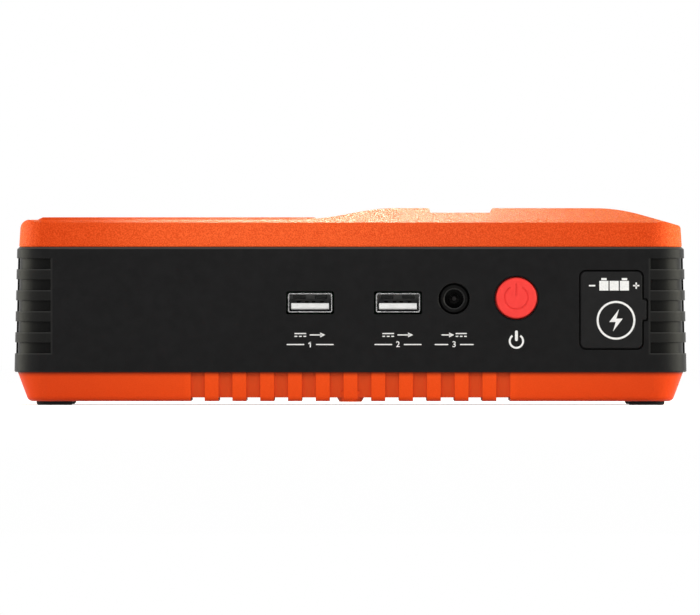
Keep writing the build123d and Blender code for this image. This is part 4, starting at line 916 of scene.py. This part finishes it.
# %% Button with its pressed symbol
groove_depth = 0.35 * MM
symbol_lift = 0.15 * MM
cutter_depth = 2.0 * MM
merge_distance = 0.002 * MM

cutter_shape = bmesh.new()
add_power_symbol(
    cutter_shape,
    radius=3.45,
    width=0.45,
    bar_width=0.45,
    bar_low=0.7,
    bar_high=4.0,
    gap_angle=62,
    depth=cutter_depth,
)
bmesh.ops.scale(cutter_shape, vec=(MM, MM, 1), verts=cutter_shape.verts[:])
groove_floor_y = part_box("power_button")[0][1] + groove_depth
stand_up(cutter_shape, button_centre.x, groove_floor_y, button_centre.z + symbol_lift)
bmesh.ops.recalc_face_normals(cutter_shape, faces=cutter_shape.faces[:])
cutter = new_object(cutter_shape, "symbol_cutter")

cap_shape = bmesh.new()
cap_shape.from_mesh(nodes["power_button"].data)
bmesh.ops.remove_doubles(cap_shape, verts=cap_shape.verts[:], dist=merge_distance)
cap = finish_piece(cap_shape, "button_cap", button_red, "button")
cut = cap.modifiers.new("pressed_symbol", "BOOLEAN")
cut.operation = "DIFFERENCE"
cut.solver = "EXACT"
cut.object = cutter
bpy.context.view_layer.update()
evaluated = cap.evaluated_get(bpy.context.evaluated_depsgraph_get())
cut_mesh = bpy.data.meshes.new_from_object(evaluated)
cap.modifiers.clear()
cap.data = cut_mesh
bpy.data.objects.remove(cutter)
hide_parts("power_button")
print("button cap faces", len(cut_mesh.polygons))

# %% [markdown]
# ## Marks under the sockets
# Each socket has two short rows of white print under it. Plain marks say what a user needs: the
# sign for direct current, an arrow out of or into the pack, and the number of the socket between
# two thin rules. The jack's rows are a little narrower, as the jack is narrower than a socket.

# %% Row one: direct current and an arrow
stroke = 0.34
line_lift = 0.42
head_length = 1.5
head_half = 0.72
head_overlap = 0.35


def add_direct_current(shape, x, half_width):
    """A solid line over three dashes."""
    add_bar(shape, (x - half_width, line_lift), (x + half_width, line_lift), stroke, ink)
    dash = half_width / 3
    for step in (-1, 0, 1):
        middle = x + step * (half_width - dash / 2)
        ends = [(middle + side * dash / 2, -line_lift) for side in (-1, 1)]
        add_bar(shape, *ends, stroke, ink)


def add_arrow(shape, start_x, end_x):
    """An arrow between two places on the row's middle line."""
    way = 1 if end_x > start_x else -1
    head_x = end_x - way * head_length
    add_bar(shape, (start_x, 0), (head_x + way * head_overlap, 0), stroke, ink)
    add_outline(shape, [(head_x, -head_half), (end_x, 0), (head_x, head_half)], ink)


# %% Row two: a figure between two rules
digit_height = 1.72
font_share = 1.42
digit_boldness = 0.03 * MM
digit_merge = 0.001 * MM
stem_x = 0.06
stem_inset = 0.16
flag_reach = 0.48
flag_drop = 0.42
flag_width = 0.3
rule_start = 1.9


def print_one(name, x, z):
    """The figure 1, drawn from a stem and a flag."""
    shape = bmesh.new()
    half = digit_height / 2 - stem_inset
    add_bar(shape, (stem_x, -half), (stem_x, half), stroke, ink)
    add_bar(shape, (stem_x - flag_reach, half - flag_drop), (stem_x, half), flag_width, ink)
    print_mark(shape, name, x, z, panel_y, "root")


def print_digit(text, name, x, z):
    """A plain figure in white ink."""
    curve = bpy.data.curves.new(name, "FONT")
    curve.body = text
    curve.size = digit_height * font_share * MM
    curve.align_x = "CENTER"
    curve.align_y = "CENTER"
    curve.offset = digit_boldness
    curve.extrude = ink / 2
    curve.resolution_u = 6
    letter = bpy.data.objects.new(name, curve)
    bpy.context.scene.collection.objects.link(letter)
    bpy.context.view_layer.update()
    shape = bmesh.new()
    shape.from_mesh(letter.to_mesh())
    bpy.data.objects.remove(letter)
    bmesh.ops.remove_doubles(shape, verts=shape.verts[:], dist=digit_merge)
    stand_up(shape, x, panel_y + ink_sink - ink / 2, z)
    finish_piece(shape, name, print_white, "root")


def add_rules(shape, half_width):
    """Two thin rules, left and right of a figure."""
    for side in (-1, 1):
        rule_end = half_width - stroke / 2
        add_bar(shape, (side * rule_start, 0), (side * rule_end, 0), stroke, ink)


# %% The three labels
row_one_drop = 9.55 * MM
row_two_drop = 12.4 * MM

# Each label: its socket, half the width of row one and of row two, half the width of the sign
# for direct current, and whether the current flows out of the pack.
labels = (
    ("charge_port_shell_1", 4.5, 7.0, 1.6, True),
    ("charge_port_shell_2", 4.5, 7.0, 1.6, True),
    ("input_jack_body", 3.6, 5.8, 1.5, False),
)
row_z = centre_of("charge_port_shell_1").z
for number, (socket_name, one_half, two_half, sign_half, flows_out) in enumerate(labels, start=1):
    socket_x = centre_of(socket_name).x
    upper = bmesh.new()
    if flows_out:
        add_direct_current(upper, sign_half - one_half, sign_half)
        add_arrow(upper, 0, one_half)
    else:
        add_direct_current(upper, one_half - sign_half, sign_half)
        add_arrow(upper, -one_half, 0)
    upper_z = row_z - row_one_drop
    print_mark(upper, f"current_mark_{number}", socket_x, upper_z, panel_y, "root")
    lower = bmesh.new()
    add_rules(lower, two_half)
    lower_z = row_z - row_two_drop
    print_mark(lower, f"rule_mark_{number}", socket_x, lower_z, panel_y, "root")
    if number == 1:
        print_one("number_mark_1", socket_x, lower_z)
    else:
        print_digit(str(number), f"number_mark_{number}", socket_x, lower_z)

# %% [markdown]
# ## Marks on the rubber flap
# The flap carries a pictogram above a ring. Here they are a plain car battery with its two
# poles, and a ring with a lightning flash in it. They ride on the flap's own body, so that they
# swing open with it.

# %% Battery on the flap
cell_half = 1.35
cell_step = 3.05
cell_low = -1.75
cell_high = 1.1
post_half = 0.8
post_low = 1.3
post_high = 1.95
sign_x = 6.55
sign_z = -0.3
sign_half = 0.75
sign_stroke = 0.45
battery_shift = 0.15 * MM
battery_lift = 7.5 * MM

flap = centre_of("port_cover")
flap_face_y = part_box("port_cover")[0][1]


def add_block(shape, x, half_width, low, high):
    """An upright rectangle with its middle at x."""
    left = x - half_width
    right = x + half_width
    add_outline(shape, [(left, low), (right, low), (right, high), (left, high)], ink)


battery = bmesh.new()
for step in (-1, 0, 1):
    add_block(battery, step * cell_step, cell_half, cell_low, cell_high)
for side in (-1, 1):
    add_block(battery, side * cell_step, post_half, post_low, post_high)
    ends = [(side * sign_x + way * sign_half, sign_z) for way in (-1, 1)]
    add_bar(battery, *ends, sign_stroke, ink)
upright_ends = [(sign_x, sign_z + way * sign_half) for way in (-1, 1)]
add_bar(battery, *upright_ends, sign_stroke, ink)
battery_x = flap.x + battery_shift
print_mark(battery, "battery_mark", battery_x, flap.z + battery_lift, flap_face_y, "cover")

# %% Ring and lightning flash on the flap
ring_radius = 5.45
ring_stroke = 0.6
ring_segments = 96
ring_x = flap.x + 0.7 * MM
ring_z = flap.z - 3.1 * MM

start_ring = bmesh.new()
add_arc(start_ring, (0, 0), ring_radius, ring_stroke, ink, 0, 2 * math.pi, ring_segments)
print_mark(start_ring, "ring_mark", ring_x, ring_z, flap_face_y, "cover")

flash = bmesh.new()
flash_outline = [(0.9, 3.3), (-2.0, -0.5), (-0.1, -0.5), (-0.9, -3.3), (2.0, 0.5), (0.1, 0.5)]
add_outline(flash, flash_outline, ink)
print_mark(flash, "flash_mark", ring_x, ring_z, flap_face_y, "cover")

# %% [markdown]
# ## Floor and light
# The pack stands on a white table in a white room. The table and the room look white to the
# camera and to what mirrors them, through the Light Path node, while the light that they give
# stays at a plain level. A lamp in front lights the panel, one on each side draws the highlights
# down the corners, a small warm one behind makes the hump shine, and a weak one hangs above.

# %% Floor
floor_half = 4.0
floor_gap = 0.02 * MM
floor_glow = 0.58

floor_shape = bmesh.new()
bmesh.ops.create_grid(floor_shape, x_segments=1, y_segments=1, size=floor_half)
bmesh.ops.translate(floor_shape, vec=(0, 0, -floor_gap), verts=floor_shape.verts[:])
floor = new_object(floor_shape, "floor")


def seen_directly(tree):
    """1 for camera, glossy and transmission rays, and 0 for the light that surfaces share."""
    path = tree.nodes.new("ShaderNodeLightPath").outputs
    seen = calculate(tree, "MAXIMUM", path["Is Camera Ray"], path["Is Glossy Ray"])
    return calculate(tree, "MAXIMUM", seen, path["Is Transmission Ray"])


floor_finish = new_finish("floor_white", screen(235, 235, 235), 0.9, specular=0.0)
floor_tree = floor_finish.node_tree
floor_shader = floor_tree.nodes["Principled BSDF"]
floor_shader.inputs["Emission Color"].default_value = (1, 1, 1, 1)
glow = calculate(floor_tree, "MULTIPLY", seen_directly(floor_tree), floor_glow)
floor_tree.links.new(glow, floor_shader.inputs["Emission Strength"])
floor.data.materials.append(floor_finish)
print("floor", 2 * floor_half, "m across")

# %% World
shared_level = 0.5
seen_level = 1.0

world = bpy.data.worlds.new("white_room")
world.use_nodes = True
bpy.context.scene.world = world
room = world.node_tree
room_light = room.nodes["Background"]
room_light.inputs["Color"].default_value = (1, 1, 1, 1)
level = map_range(room, seen_directly(room), (0.0, 1.0), (shared_level, seen_level))
room.links.new(level, room_light.inputs["Strength"])
print("room", seen_level, "to the eye and", shared_level, "as light")


# %% Lamps
def area_lamp(name, place, target, width, height, watts, colour=(1, 1, 1)):
    """A soft rectangular lamp that points from its place to a target."""
    data = bpy.data.lights.new(name, "AREA")
    data.shape = "RECTANGLE"
    data.size = width
    data.size_y = height
    data.energy = watts
    data.color = colour
    lamp = bpy.data.objects.new(name, data)
    bpy.context.scene.collection.objects.link(lamp)
    lamp.location = place
    aim = Vector(target) - Vector(place)
    lamp.rotation_euler = aim.to_track_quat("-Z", "Y").to_euler()


middle = (0, 0, 0.03)
left_end = (-0.09, 0, 0.03)
right_end = (0.09, 0, 0.03)
hump = (0.0, -0.04, 0.055)
side_light = (0.98, 0.97, 0.8)
warm_light = (1.0, 0.85, 0.64)

# Each lamp: its place, what it points at, its width and height in metres, and its watts.
area_lamp("lamp_above", (0, -0.05, 0.9), middle, 0.25, 0.2, 0.5)
area_lamp("lamp_high_front", (-0.03, -0.42, 0.275), middle, 0.24, 0.12, 0.7)
area_lamp("lamp_left", (-0.6, 0.08, 0.12), left_end, 0.5, 0.36, 2.6, side_light)
area_lamp("lamp_right", (0.6, -0.02, 0.16), right_end, 0.5, 0.36, 3.8, side_light)
area_lamp("lamp_behind", (-0.004, 0.2, 0.185), hump, 0.1, 0.08, 0.6, warm_light)

# %% [markdown]
# A black card stands in front of the pack, so that faces that look straight back at the lens
# mirror darkness instead of a white room. That is what keeps the black plastic black and the
# inside of the sockets deep. The card shows in reflections only.

# %% Black card for the reflections
card_width = 2.4
card_height = 1.4
card_y = -1.6

card_shape = bmesh.new()
bmesh.ops.create_grid(card_shape, x_segments=1, y_segments=1, size=0.5)
bmesh.ops.scale(card_shape, vec=(card_width, card_height, 1), verts=card_shape.verts[:])
stand_up(card_shape, 0, card_y, card_height / 2)
card = new_object(card_shape, "black_card")
card.data.materials.append(new_finish("card_black", screen(8, 8, 8), 1.0, specular=0.0))
card.visible_camera = False
card.visible_diffuse = False
card.visible_transmission = False
card.visible_shadow = False
print("card", card_width, "by", card_height, "m")
